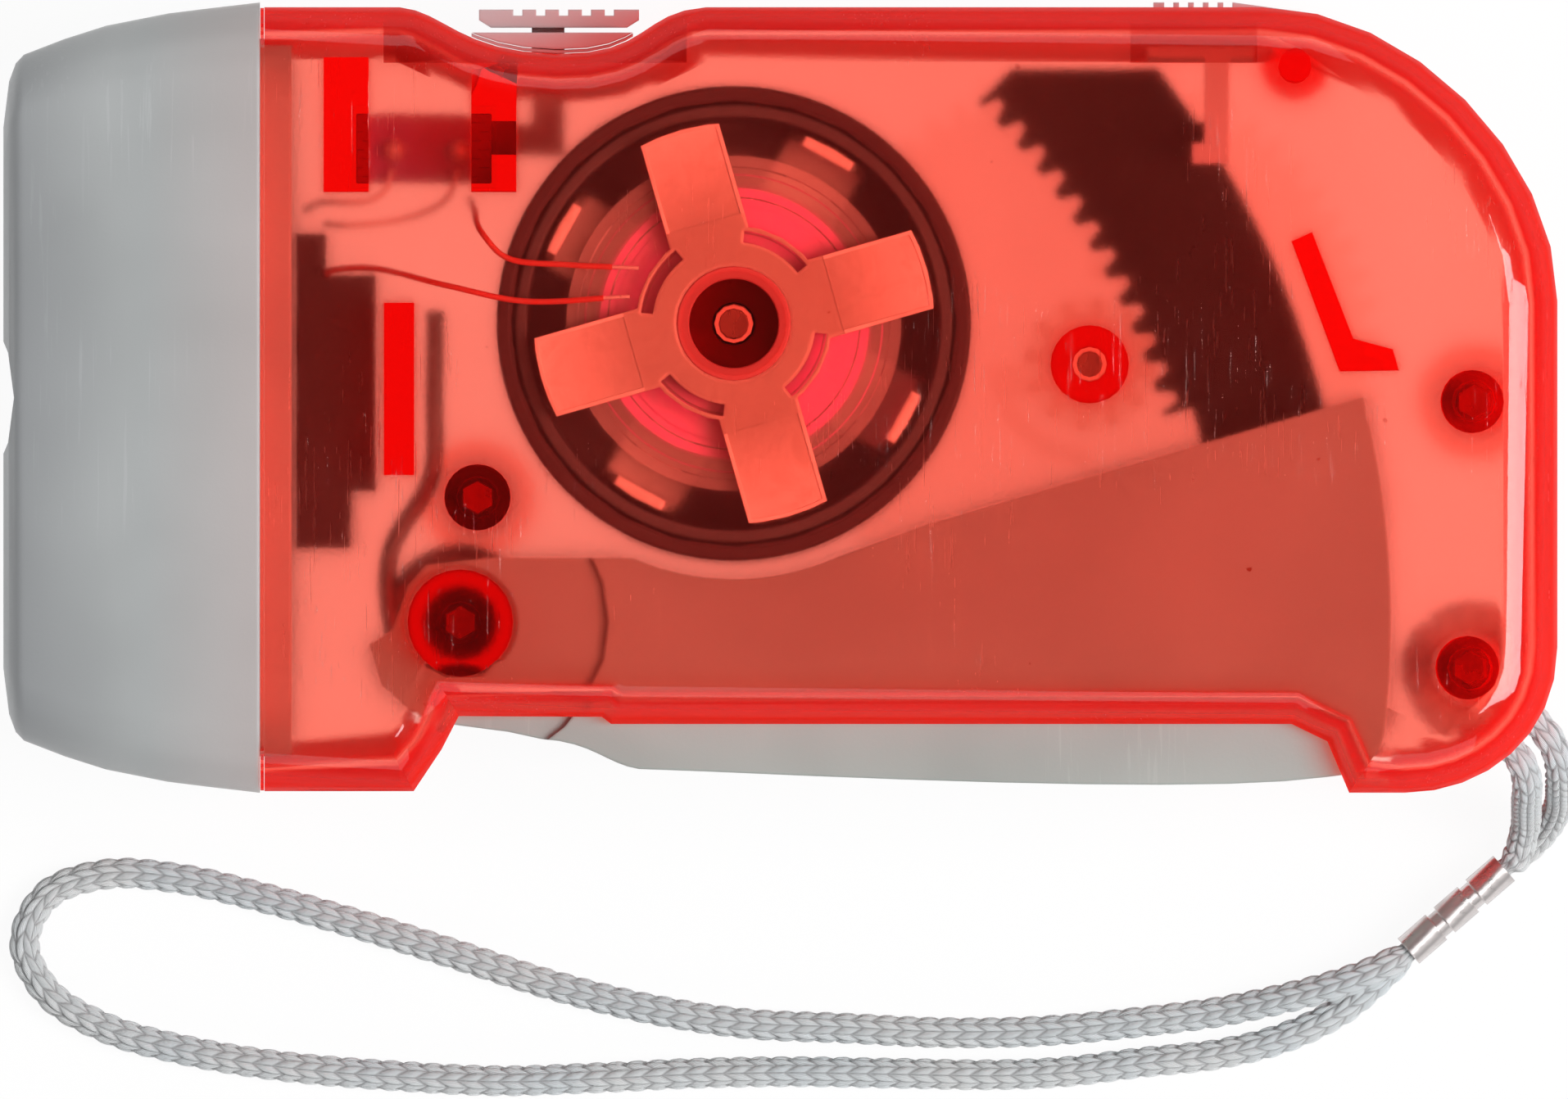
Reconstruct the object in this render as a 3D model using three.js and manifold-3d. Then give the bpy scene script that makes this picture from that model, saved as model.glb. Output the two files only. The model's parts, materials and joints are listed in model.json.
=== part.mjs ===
// A hand crank flashlight: a squeeze lever drives a gear train and a small generator.
// Millimetres, +Z up. It lies on its lower shell with the head at -X and the lever at -Y.
// The origin is under the middle of the body, on the surface that it lies on.
import * as THREE from "three";
import { mergeVertices } from "three/addons/utils/BufferGeometryUtils.js";
import Module from "manifold-3d";

const wasm = await Module();
wasm.setup();

// Driving sizes of the housing
const bodyLength = 103;
const bodyHeight = 52.4;
const bodyDepth = 36;
const wall = 1.8;
const edgeRound = 3.6;
const headLength = 17;
const pivotRise = 11.32; // of the lever's pivot over the lever side
const bodyTopShare = 0.994; // the head stands a little proud of the body
const bodyBottomShare = 0.002;

// Clearances
const gap = 0.3; // between pieces that rest on each other
const runGap = 0.5; // between pieces that turn or slide past each other
const overrun = 6; // how far a cutting solid passes the face that it cuts

// How finely round shapes are drawn
const curveSteps = 8;
const edgeSteps = 3;
const roundSides = 24;
const smallSides = 12;
const weldDistance = 1e-4;

// Levels that the housing sets
const midplane = bodyDepth / 2;
const lowerInner = wall;
const upperInner = bodyDepth - wall;

// Places in plan are shares of the length from the head and of the height from the lever side.
// The first zone each way keeps its own size, and the places beyond it share what is left.
const headZone = { edgeShare: 0.165, size: headLength, whole: bodyLength };
const leverZone = { edgeShare: 0.216, size: pivotRise, whole: bodyHeight };
const placeShares = {
  pivot: [0.294, 0.216],
  flywheel: [0.47, 0.594],
  rearUpperScrew: [0.945, 0.495],
  rearLowerScrew: [0.9417, 0.1584],
  alignmentPin: [0.831, 0.918],
};
const pinionHeightShare = 0.542;
const trainShares = { along: 0.2743, up: 0.5745 }; // the train's reach, of what is left each way

// Head and what it holds
const headCorner = 4.4;
const headRimDip = 0.7;
const headRimDipRadius = 11.5;
const skirtLength = 2.1;
const skirtWall = 1.2;
const rimDepth = 1.4;
const rimWidth = 1.7;
const lensThickness = 1.6;
const lensCrown = 0.5;
const reflectorFlange = 1;
const reflectorHalfHeight = 15;
const reflectorHalfDepth = 7.4;
const cupCount = 3;
const cupPitch = 7.5;
const cupRadius = 6.2;
const cupDepth = 8;
const cupFloor = 1.2;
const ledRadius = 2.5;
const ledFlangeRadius = 3;
const ledFlange = 1;
const ledLength = 9.4;
const holderDepth = 18;
const holderMiddleShares = { low: 0.381, high: 0.656 };
const holderStepShares = [
  { right: 0.208, low: 0.64, high: 0.708 },
  { right: 0.224, low: 0.309, high: 0.4 },
];

// Screws and their posts
const screwHeadRadius = 2.5;
const screwHeadHeight = 1.8;
const screwRadius = 1.1;
const screwLength = 24;
const screwRecess = 0.5;
const crossWidth = 0.6;
const crossLength = 2.8;
const crossDepth = 1;
const frontPostRadius = 2.2;
const frontPostClear = 0.9; // between the spring and the front post
const frontPostAngle = THREE.MathUtils.degToRad(82.2);
const upperPostRadius = 2.1;
const lowerPostRadius = 2.1;
const pivotPostRadius = 3.5;
const postBaseWall = 1;
const postBaseHeight = 2.6;
const pinRadius = 1.1;
const pinSocketWall = 1;
const pinSocketRadius = pinRadius + gap + pinSocketWall;
const pinReach = 1.8;

// Squeeze lever
const leverWall = 1.8;
const leverSlotGap = 0.3;
const leverEndShares = { reach: 0.893, low: 0.093, high: 0.501 };
const leverScoopHalf = THREE.MathUtils.degToRad(23.4);
// The ear's outline about the pivot, as shares of the radius of its bore
const earShares = [
  [-1.6, -0.39],
  [-1.19, -0.12],
  [-0.93, 0.62],
  [-0.6, 1],
  [0.54, 1.13],
];
const shellLip = 4.4; // depth of each shell's wall and lip beside the lever
const earRadius = 9.8;
const earRecess = 0.6;
const earSwingRadius = 7.2;
const ribPlateThickness = 3.5;
const leverEndClear = 0.7;

// Gear train
const sectorTeeth = 150; // on the whole circle
const pinionTeeth = 12;
const gearTeeth = 58;
const flywheelTeeth = 15;
const addendumShare = 0.8;
const sectorAddendumShare = 0.66;
const dedendumShare = 1.1;
const pressureAngle = THREE.MathUtils.degToRad(20);
const backlash = 0.14;
const flankSteps = { few: 2, many: 1 }; // on a wheel with few teeth and on one with many
const manyTeeth = 40;
const sectorSpacesBelow = 2;
const sectorEndMargin = 2.7; // between the sector's rim and the lever's end
const sectorRimStep = 0.8; // from the roots of the teeth to the rim's inner edge
const sectorTabLow = THREE.MathUtils.degToRad(5);
const sectorThickness = 3.5;
const sectorTopShare = 0.915;
const sectorScrewRadius = 0.8;
const sectorScrewHeadRadius = 1.5;
const sectorScrewHead = 1.1;
const sectorScrewAngles = [4.6, 10.6].map(THREE.MathUtils.degToRad);
const lugLength = 1.4;
const lugHeight = 1.1;
const lugThickness = 2;
const lugSeat = 0.86; // how far the lug's corner lies inside the rim
const lugShares = [0.765, 0.827];
const guideClear = 1.6; // between the sector's rim and its guide
const guideThickness = 1.5;
const guideFoot = 3.8;
// Angles from the top of the lever's end, in degrees
const guideAngles = { top: 10.6, bend: 3.6, footHigh: 2.3, footLow: 1, heel: 1.9 };
// The free depth in the lever's channel: under the gear, and between its ratchet and the lever's rib
const stackShares = { below: 0.2336, between: 0.299 };
const pinionMargin = 1; // past each face of the sector
const pinionFace = sectorThickness + 2 * pinionMargin;
const pinionHubRadius = 3;
const gearFace = 3;
const gearRimWidth = 1.6;
const gearWebCut = 0.8;
const ratchetOuterRadius = 9.6;
const ratchetInnerRadius = 8;
const ratchetToothDepth = 0.9;
const ratchetTeeth = 12;
const ratchetHeight = 2;
const pawlReach = 6.7;
const pawlWidth = 1.1;
const pawlThickness = 1.8;
const pawlDiscRadius = 4.4;
const flywheelPinionFace = 5;
const flywheelPinionMargin = 0.5; // below the gear

// Generator
const flywheelClear = 1.14; // between the flywheel and the nearest of its neighbours
const flywheelRimWall = 0.9;
const flywheelWeb = 1.5;
const flywheelHubRadius = 4;
const magnetThickness = 0.8;
const airGap = 0.4; // between the claws and the magnet
const clawWidth = 5.4;
const clawTipWidth = 3.6;
const clawCount = 4;
const frontClawTurn = THREE.MathUtils.degToRad(16);
const statorPlate = 0.8;
const statorHubRadius = 6.5;
const statorHeight = 10.7;
const bobbinClear = 1.4;
const bobbinFlange = 1;
const bobbinCoreWall = 1.3;
const coilInset = 2.1; // from the bobbin's edge
const statorPostRadius = 3.5;
const axleRadius = 1;
const gearAxleRadius = 0.85;
const axleBossRadius = 2.6;
const axleBossFloor = 1.2;
const magnetEndGap = 0.8;

// Torsion spring
const springWire = 1.2;
const springCoilRadius = 4.65; // to the middle of the wire
const springTurns = 4.25;
const springPitch = 1.72;
const springStepsPerTurn = 8;
const springSides = 5;
const springLegShares = { bend: 0.4, top: 0.61 }; // levels of its upright leg
const springFootShares = [0.49, 0.084];
const springRibGap = 0.8; // between that leg and its rib
const springRibWidth = 2;
const springRibShares = { low: 0.402, high: 0.62 };

// Light switch
const sliderTravel = 2;
const sliderFoot = 0.8; // how far the button's underside is cut back at each end
const sliderFootHeight = 0.5;
const sliderWidth = 9;
const sliderRidges = 5;
const sliderRidgeShares = { first: 0.2143, pitch: 0.1429 };
const sliderShares = { left: 0.306, right: 0.409, low: 0.968, high: 0.991 };
const sliderNeckShares = { left: 0.34, right: 0.361, low: 0.806 };
const sliderNeckWidth = 3;
const switchPlateWidth = 13;
const switchPlateShares = { left: 0.283, right: 0.421, top: 0.962 };
const wiperArmShares = { left: 0.262, low: 0.806, high: 0.848 };
const wiperArmThickness = 2.5;
const wiperLeaf = 0.3;
const wiperShares = { left: 0.266, right: 0.287, low: 0.813, high: 0.836 };
const boardThickness = 1.2;
const boardShares = { left: 0.227, right: 0.314, low: 0.77, high: 0.858 };
const boardGrooveHighShare = 0.868;
const boardRibDepth = 1.1;
const boardRibShares = [
  { left: 0.206, right: 0.235, low: 0.76, high: 0.93 },
  { left: 0.301, right: 0.33, low: 0.76, high: 0.91 },
];
const terminalShares = [
  [0.251, 0.811],
  [0.293, 0.811],
];
const terminalRadius = 0.8;
const terminalHeight = 1;

// Lock slider
const lockTravel = 3.5;
const lockWidth = 9;
const lockShares = { left: 0.74, right: 0.842, low: 0.98, high: 1 };
const lockNeckShares = { left: 0.77, right: 0.792 };
const lockNeckWidth = 4;
const lockFlangeMargin = 3; // past the neck and the hook
const lockFlangeThickness = 0.73;
const lockFlangeDrop = 4; // of its lower end under the middle
const lockStemThickness = 1.6;
const lockStemWidth = 1.65;
const lockHookWidth = 2.45;
const lockHookHeight = 1.35;
const lockTailLength = 5.2;
const lockTailDrop = 0.75;
const lockRidges = 4;
const lockRidgeShares = { left: 0.747, right: 0.785 };
const ridgeWidth = 0.6;
const ridgeDepth = 0.4;

// Wrist strap
const cordRadius = 1.1;
const cordSides = 8;
const loopSteps = 60;
const anchorSteps = 20;
const strandSteps = 14;
const anchorClear = 0.25; // between the cord and the post that it goes round
const anchorRadius = lowerPostRadius + cordRadius + anchorClear;
// One side of the cord's turn round the post, as shares of its radius: [along the hole, across it]
const anchorSideShares = [
  [1.54, 0.354],
  [1.23, 0.42],
  [0.87, 0.64],
  [0.45, 0.9],
];
const strapAim = THREE.MathUtils.degToRad(-50); // from the lower rear post to the hole in the corner
const strapHoleWidth = 5.8;
const strapHoleHeight = 3.1;
const strapHoleLength = 8;
const strapPocketMargin = 0.3;
const ferruleRadius = 1.1;
const ferruleRise = 2.4;
const ferruleWaist = 1.5;
const ferruleNip = 0.35;
const ferruleNipDepth = 0.2;
const ferruleLobeReach = ferruleRise / 2 + ferruleRadius;

// Wires
const wireRadius = 0.45;
const wireSides = 6;
const wireSteps = 14;

function measured(share, { edgeShare, size, whole }) {
  if (share <= edgeShare) return (share / edgeShare) * size;
  return size + ((share - edgeShare) / (1 - edgeShare)) * (whole - size);
}

const at = ([x, y]) =>
  new THREE.Vector2(measured(x, headZone) - bodyLength / 2, measured(y, leverZone) - bodyHeight / 2);
const polar = (radius, angle) => [radius * Math.cos(angle), radius * Math.sin(angle)];
const places = Object.fromEntries(Object.entries(placeShares).map(([name, share]) => [name, at(share)]));

// The train reaches as far behind the flywheel as the length and the height both let it.
const trainReach = Math.min(
  trainShares.along * (bodyLength - headLength),
  trainShares.up * (bodyHeight - pivotRise),
);
places.pinion = new THREE.Vector2(places.flywheel.x + trainReach, at([0, pinionHeightShare]).y);

// The front post stands clear of the spring round the pivot, and the spring's leg passes the post.
const frontPostReach = springCoilRadius + springWire / 2 + frontPostClear + frontPostRadius;
places.frontScrew = places.pivot.clone().add(new THREE.Vector2(...polar(frontPostReach, frontPostAngle)));
const springLegX = places.frontScrew.x - frontPostRadius - springWire / 2;
const springRibRight = springLegX - springWire / 2 - springRibGap;
const springRibLeft = springRibRight - springRibWidth;

// The flywheel fills the room between the front post, the corner of a board rib and the top wall.
const topInner = at([0, bodyTopShare]).y - wall;
const flywheelRoom = Math.min(
  places.flywheel.distanceTo(places.frontScrew) - frontPostRadius,
  places.flywheel.distanceTo(at([boardRibShares[1].right, boardRibShares[1].low])),
  topInner - places.flywheel.y,
);
const flywheelRadius = flywheelRoom - flywheelClear;
const clawTipRadius = flywheelRadius - flywheelRimWall - gap - magnetThickness - airGap;
const bobbinRadius = clawTipRadius - statorPlate - bobbinClear;
const coilRadius = bobbinRadius - coilInset;

const leverEndRadius = at([leverEndShares.reach, 0]).x - places.pivot.x;
const leverEndAngle = (share) => Math.asin((at([0, share]).y - places.pivot.y) / leverEndRadius);
const leverEndHighAngle = leverEndAngle(leverEndShares.high);
const leverEndLowAngle = leverEndAngle(leverEndShares.low);
const sectorOuterRadius = leverEndRadius - sectorEndMargin;

// The lug's corner about the pivot. It stays on the sector's rim.
const lugRise = at([0, lugShares[1]]).y - places.pivot.y;
const lugCorner = new THREE.Vector2(
  Math.min(
    at([lugShares[0], 0]).x - places.pivot.x,
    Math.sqrt((sectorOuterRadius - lugSeat) ** 2 - lugRise ** 2),
  ),
  lugRise,
);

// Solids

// A closed geometry as a solid that can be joined and cut, with its faces turned out.
function solid(geometry) {
  const bare = geometry.clone();
  bare.deleteAttribute("normal");
  bare.deleteAttribute("uv");
  const merged = mergeVertices(bare, weldDistance);
  const vertProperties = merged.attributes.position.array;
  const triVerts = new Uint32Array(merged.index.array);
  const made = new wasm.Manifold(new wasm.Mesh({ numProp: 3, vertProperties, triVerts }));
  if (made.volume() > 0) return made;
  for (let i = 0; i < triVerts.length; i += 3) {
    [triVerts[i + 1], triVerts[i + 2]] = [triVerts[i + 2], triVerts[i + 1]];
  }
  return new wasm.Manifold(new wasm.Mesh({ numProp: 3, vertProperties, triVerts }));
}

const join = (first, ...others) => others.reduce((all, one) => all.add(one), first);
const cut = (first, ...others) => others.reduce((rest, one) => rest.subtract(one), first);
const common = (first, ...others) => others.reduce((rest, one) => rest.intersect(one), first);

function plate(shape, low, high, steps = curveSteps) {
  const geometry = new THREE.ExtrudeGeometry(shape, {
    depth: high - low,
    bevelEnabled: false,
    curveSegments: steps,
  });
  return solid(geometry.translate(0, 0, low));
}

function block(x0, x1, y0, y1, z0, z1) {
  const geometry = new THREE.BoxGeometry(x1 - x0, y1 - y0, z1 - z0);
  return solid(geometry.translate((x0 + x1) / 2, (y0 + y1) / 2, (z0 + z1) / 2));
}

// A block from shares of the body, {left, right, low, high}, between two levels.
function shareBlock(shares, z0, z1) {
  const a = at([shares.left, shares.low]);
  const b = at([shares.right, shares.high]);
  return block(a.x, b.x, a.y, b.y, z0, z1);
}

function disc(radius, low, high, centre = new THREE.Vector2(), sides = roundSides) {
  const geometry = new THREE.CylinderGeometry(radius, radius, high - low, sides);
  geometry.rotateX(Math.PI / 2);
  return solid(geometry.translate(centre.x, centre.y, (low + high) / 2));
}

// A profile of [radius, level] points turned about the vertical.
function turned(profile, sides = roundSides) {
  const points = profile.map(([radius, level]) => new THREE.Vector2(radius, level));
  return solid(new THREE.LatheGeometry(points, sides).rotateX(Math.PI / 2));
}

function polygon(points) {
  return new THREE.Shape(points.map(([x, y]) => new THREE.Vector2(x, y)));
}

function circle(radius, sides) {
  const corner = (i) => [
    radius * Math.cos((i * 2 * Math.PI) / sides),
    radius * Math.sin((i * 2 * Math.PI) / sides),
  ];
  return polygon(Array.from({ length: sides }, (_, i) => corner(i)));
}

// A tube along a smooth curve through the points.
function tube(points, radius, sides, steps) {
  const path = new THREE.CatmullRomCurve3(points, false, "centripetal");
  const geometry = new THREE.ExtrudeGeometry(circle(radius, sides), { extrudePath: path, steps });
  return solid(geometry);
}

// A closed skin through convex rings of as many points each, with flat ends.
function loft(rings) {
  const count = rings[0].length;
  const positions = rings.flat().flatMap((point) => point.toArray());
  const index = [];
  for (let ring = 0; ring + 1 < rings.length; ring++) {
    for (let i = 0; i < count; i++) {
      const next = (i + 1) % count;
      const here = ring * count;
      const there = here + count;
      index.push(here + i, here + next, there + next, here + i, there + next, there + i);
    }
  }
  const last = (rings.length - 1) * count;
  for (let i = 1; i + 1 < count; i++) {
    index.push(0, i + 1, i);
    index.push(last, last + i, last + i + 1);
  }
  const geometry = new THREE.BufferGeometry();
  geometry.setAttribute("position", new THREE.Float32BufferAttribute(positions, 3));
  geometry.setIndex(index);
  return solid(geometry);
}

// Housing

const headX = -bodyLength / 2;
const mouthX = headX + headLength + gap;

// The outline of both shells in plan. It runs on past the mouth, where it is cut off square.
function bodyOutline() {
  const start = mouthX - edgeRound - overrun - wall;
  const point = (x, y) => at([x, y]);
  const bend = (shape, a, b, c) => shape.bezierCurveTo(a.x, a.y, b.x, b.y, c.x, c.y);
  const line = (shape, to) => shape.lineTo(to.x, to.y);
  const top = point(0, bodyTopShare).y;
  const bottom = point(0, bodyBottomShare).y;
  const outline = new THREE.Shape();
  outline.moveTo(start, top);
  line(outline, point(0.255, bodyTopShare));
  bend(outline, point(0.284, 0.989), point(0.293, 0.937), point(0.356, 0.935));
  bend(outline, point(0.416, 0.933), point(0.41, 0.989), point(0.452, bodyTopShare));
  line(outline, point(0.81, bodyTopShare));
  bend(outline, point(0.905, bodyTopShare), point(1, 0.806), point(1, 0.622));
  line(outline, point(1, 0.184));
  bend(outline, point(1, 0.07), point(0.953, 0), point(0.902, 0));
  [
    [0.866, 0],
    [0.852, 0.065],
    [0.829, 0.087],
    [0.391, 0.087],
    [0.385, 0.096],
    [0.293, 0.097],
    [0.282, 0.055],
    [0.264, bodyBottomShare],
  ].forEach((share) => line(outline, at(share)));
  outline.lineTo(start, bottom);
  return outline;
}

// The outline as a body whose upper and lower edges are rounded, drawn in by an inset.
function roundedBody(inset, round, low, high) {
  const geometry = new THREE.ExtrudeGeometry(bodyOutline(), {
    depth: high - low - 2 * round,
    bevelThickness: round,
    bevelSize: round,
    bevelOffset: -(inset + round),
    bevelSegments: edgeSteps,
    curveSegments: curveSteps,
  });
  return solid(geometry.translate(0, 0, low + round));
}

const screwSites = [
  { name: "pivot_screw", place: places.pivot, post: pivotPostRadius },
  { name: "front_screw", place: places.frontScrew, post: frontPostRadius },
  { name: "rear_upper_screw", place: places.rearUpperScrew, post: upperPostRadius },
  { name: "rear_lower_screw", place: places.rearLowerScrew, post: lowerPostRadius },
];
const counterbore = screwRecess + screwHeadHeight + gap;

// What the lever needs open: its slot between the shells and the swing of its ears.
function leverSlot() {
  const low = shellLip;
  const high = bodyDepth - shellLip;
  const reach = leverEndRadius + leverEndClear;
  const front = at([0.278, 0.278]);
  const swept = common(
    disc(reach, low, high, places.pivot, 2 * roundSides),
    block(front.x, bodyLength, -bodyHeight, front.y, low, high),
  );
  return join(swept, disc(earSwingRadius, low, high, places.pivot));
}

// The strap leaves through the corner, by a slot with round ends, from a pocket round the rear post.
function strapHole() {
  const side = (strapHoleWidth - strapHoleHeight) / 2;
  const half = strapHoleHeight / 2;
  const round = (across) => {
    const geometry = new THREE.CylinderGeometry(half, half, strapHoleLength, smallSides);
    return solid(geometry.rotateZ(Math.PI / 2).translate(strapHoleLength / 2, across, 0));
  };
  const hole = join(block(0, strapHoleLength, -side, side, -half, half), round(-side), round(side));
  const post = places.rearLowerScrew;
  const pocket = disc(anchorRadius + cordRadius + strapPocketMargin, midplane - half, midplane + half, post);
  const aimed = hole.rotate([0, 0, THREE.MathUtils.radToDeg(strapAim)]);
  return join(aimed.translate([post.x, post.y, midplane]), pocket);
}

// The slots that the two sliders reach through, and the pocket that the lock slider runs in.
function sliderSlots() {
  const neckLeft = at([sliderNeckShares.left, sliderNeckShares.low]);
  const neckRight = at([sliderNeckShares.right, 1]);
  const lightSlot = block(
    neckLeft.x - sliderTravel - runGap,
    neckRight.x + runGap,
    at([0, wiperArmShares.high]).y,
    neckRight.y,
    midplane - sliderNeckWidth / 2 - gap,
    midplane + sliderNeckWidth / 2 + gap,
  );
  const lockLow = at([lockShares.left, lockShares.low]);
  const lockHigh = at([lockShares.right, lockShares.high]);
  const pocket = block(
    lockLow.x - lockTravel - runGap,
    lockHigh.x + runGap,
    lockLow.y - gap,
    lockHigh.y + overrun,
    midplane - lockWidth / 2 - gap,
    midplane + lockWidth / 2 + gap,
  );
  const lockNeckLeft = at([lockNeckShares.left, 0]).x;
  const lockNeckRight = at([lockNeckShares.right, 0]).x;
  const lockSlot = block(
    lockNeckLeft - lockTravel - runGap,
    lockNeckRight + runGap,
    topInner - gap,
    lockHigh.y,
    midplane - lockNeckWidth / 2 - gap,
    midplane + lockNeckWidth / 2 + gap,
  );
  return join(lightSlot, pocket, lockSlot);
}

function shellHalf(keepLow, keepHigh) {
  const far = bodyLength;
  const skin = cut(
    roundedBody(0, edgeRound, 0, bodyDepth),
    roundedBody(wall, edgeRound - wall, lowerInner, upperInner),
  );
  const kept = common(skin, block(mouthX, far, -bodyHeight, bodyHeight, keepLow, keepHigh));
  return cut(kept, leverSlot(), strapHole(), sliderSlots());
}

// Levels of the gears, which share the depth of the lever's channel
const leverLow = shellLip + leverSlotGap;
const leverHigh = bodyDepth - leverLow;
const stackDepth = gearFace + ratchetHeight + ribPlateThickness + gap + sectorThickness;
const stackFree = leverHigh - leverLow - 2 * leverWall - stackDepth;
const gearLow = leverLow + leverWall + stackShares.below * stackFree;
const flywheelPinionLow = gearLow - flywheelPinionMargin;
const ratchetHigh = gearLow + gearFace + ratchetHeight;
const sectorLow = ratchetHigh + stackShares.between * stackFree + ribPlateThickness + gap;
const pinionTeethLow = sectorLow - pinionMargin;
const pinionHigh = pinionTeethLow + pinionFace;
const pawlLow = gearLow + gearFace + runGap;

function lowerShell() {
  let shell = shellHalf(0, midplane - gap / 2);
  const root = wall / 2;
  const top = midplane - gap / 2;
  for (const { place, post } of screwSites) {
    const base = Math.max(post, screwHeadRadius + gap + postBaseWall);
    shell = join(shell, disc(base, root, postBaseHeight + wall, place), disc(post, root, top, place));
  }
  for (const { place } of screwSites) {
    const head = screwHeadRadius + gap;
    shell = cut(
      shell,
      disc(head, -overrun, counterbore, place),
      disc(screwRadius + gap, -overrun, top + overrun, place, smallSides),
    );
  }
  const axleHole = (radius, place) =>
    disc(radius + gap, lowerInner + axleBossFloor, midplane, place, smallSides);
  shell = join(
    shell,
    disc(axleBossRadius, root, flywheelPinionLow - gap, places.flywheel),
    disc(axleBossRadius, root, gearLow - gap, places.pinion),
    disc(pinSocketRadius, root, top, places.alignmentPin, smallSides),
  );
  return cut(
    shell,
    axleHole(axleRadius, places.flywheel),
    axleHole(gearAxleRadius, places.pinion),
    disc(pinRadius + gap, top - pinReach - gap, top + overrun, places.alignmentPin, smallSides),
  );
}

// Generator levels, from the upper shell down
const frontPlateHigh = upperInner - gap;
const frontPlateLow = frontPlateHigh - statorPlate;
const bobbinHigh = frontPlateLow - gap;
const rearPlateLow = frontPlateHigh - statorHeight - statorPlate;
const rearPlateHigh = rearPlateLow + statorPlate;
const bobbinLow = rearPlateHigh + gap;
const flywheelWebHigh = rearPlateLow - runGap;
const flywheelWebLow = flywheelWebHigh - flywheelWeb;
const flywheelRimHigh = frontPlateLow - magnetEndGap;

// Switch levels, from the sliders' middle up
const wiperArmHigh = midplane + sliderNeckWidth / 2;
const boardLow = wiperArmHigh + wiperArmThickness;
const boardHigh = boardLow + boardThickness;

function upperShell() {
  const low = midplane + gap / 2;
  const root = upperInner + wall / 2;
  let shell = shellHalf(low, bodyDepth);
  for (const { place, post } of screwSites) {
    shell = join(shell, disc(post, low, root, place));
  }
  const screwTop = screwRecess + screwHeadHeight + screwLength;
  for (const { place } of screwSites) {
    shell = cut(shell, disc(screwRadius + gap, 0, screwTop + gap, place, smallSides));
  }
  const boardRibs = boardRibShares.map((shares) => shareBlock(shares, boardLow - boardRibDepth, root));
  const springRib = block(
    springRibLeft,
    springRibRight,
    at([0, springRibShares.low]).y,
    at([0, springRibShares.high]).y,
    low + springWire,
    root,
  );
  shell = join(
    shell,
    disc(statorPostRadius, rearPlateLow, root, places.flywheel),
    disc(axleBossRadius, pinionHigh + gap, root, places.pinion),
    disc(pinRadius, midplane - pinReach, root, places.alignmentPin, smallSides),
    springRib,
    sectorGuide(root),
    ...boardRibs,
  );
  const groove = { ...boardShares, high: boardGrooveHighShare };
  const grooveBlock = shareBlock(groove, boardLow - gap, boardHigh + gap);
  const boreTop = upperInner - axleBossFloor;
  return cut(
    shell,
    disc(axleRadius + gap, midplane, boreTop, places.flywheel, smallSides),
    disc(gearAxleRadius + gap, midplane, boreTop, places.pinion, smallSides),
    widened(grooveBlock),
  );
}

// An angled rib that keeps the sector's rim in its plane.
function sectorGuide(root) {
  const inner = sectorOuterRadius + guideClear;
  const outer = inner + guideThickness;
  const foot = inner + guideFoot;
  const point = (radius, degrees) => polar(radius, leverEndHighAngle + THREE.MathUtils.degToRad(degrees));
  const outline = polygon([
    point(inner, guideAngles.top),
    point(outer, guideAngles.top),
    point(outer, guideAngles.bend),
    point(foot, guideAngles.footHigh),
    point(foot, guideAngles.footLow),
    point(inner, guideAngles.heel),
  ]);
  return plate(outline, sectorLow - runGap, root).translate([places.pivot.x, places.pivot.y, 0]);
}

// The board's groove is a gap wider than the board at each end and below it.
function widened(piece) {
  return join(
    piece,
    piece.translate([gap, 0, 0]),
    piece.translate([-gap, 0, 0]),
    piece.translate([0, -gap, 0]),
    piece.translate([gap, -gap, 0]),
    piece.translate([-gap, -gap, 0]),
  );
}

// Head

// The head's half height and half depth grow from the rim to the body: [share of its length, share].
const headTaperShares = [
  [0, 0.684],
  [0.022, 0.8],
  [0.048, 0.846],
  [0.08, 0.868],
  [0.24, 0.908],
  [0.4, 0.941],
  [0.64, 0.972],
  [0.8, 0.985],
  [1, 1],
];

function headShare(distance) {
  const share = THREE.MathUtils.clamp(distance / headLength, 0, 1);
  const next = Math.max(
    1,
    headTaperShares.findIndex(([along]) => along >= share),
  );
  const [x0, s0] = headTaperShares[next - 1];
  const [x1, s1] = headTaperShares[next];
  return s0 + ((s1 - s0) * (share - x0)) / (x1 - x0);
}

// A ring of a rounded rectangle across the head, a distance behind the rim.
function headRing(distance, halfHeight, halfDepth, corner) {
  const perCorner = 6;
  const points = [];
  [
    [1, 1],
    [-1, 1],
    [-1, -1],
    [1, -1],
  ].forEach(([sy, sz], quarter) => {
    for (let i = 0; i <= perCorner; i++) {
      const angle = ((quarter + i / perCorner) * Math.PI) / 2;
      points.push(
        new THREE.Vector3(
          headX + distance,
          sy * (halfHeight - corner) + corner * Math.cos(angle),
          midplane + sz * (halfDepth - corner) + corner * Math.sin(angle),
        ),
      );
    }
  });
  return points;
}

function headSection(distance, inset, widthAt = distance) {
  const share = headShare(widthAt);
  return headRing(
    distance,
    (bodyHeight / 2) * share - inset,
    (bodyDepth / 2) * share - inset,
    Math.max(headCorner * share - inset, wall),
  );
}

const lensFront = rimDepth + gap;
const lensBack = lensFront + lensThickness;
const reflectorFront = lensBack + gap;
const reflectorBack = reflectorFront + cupDepth + cupFloor;
const holderFront = headLength + skirtLength + gap;

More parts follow.
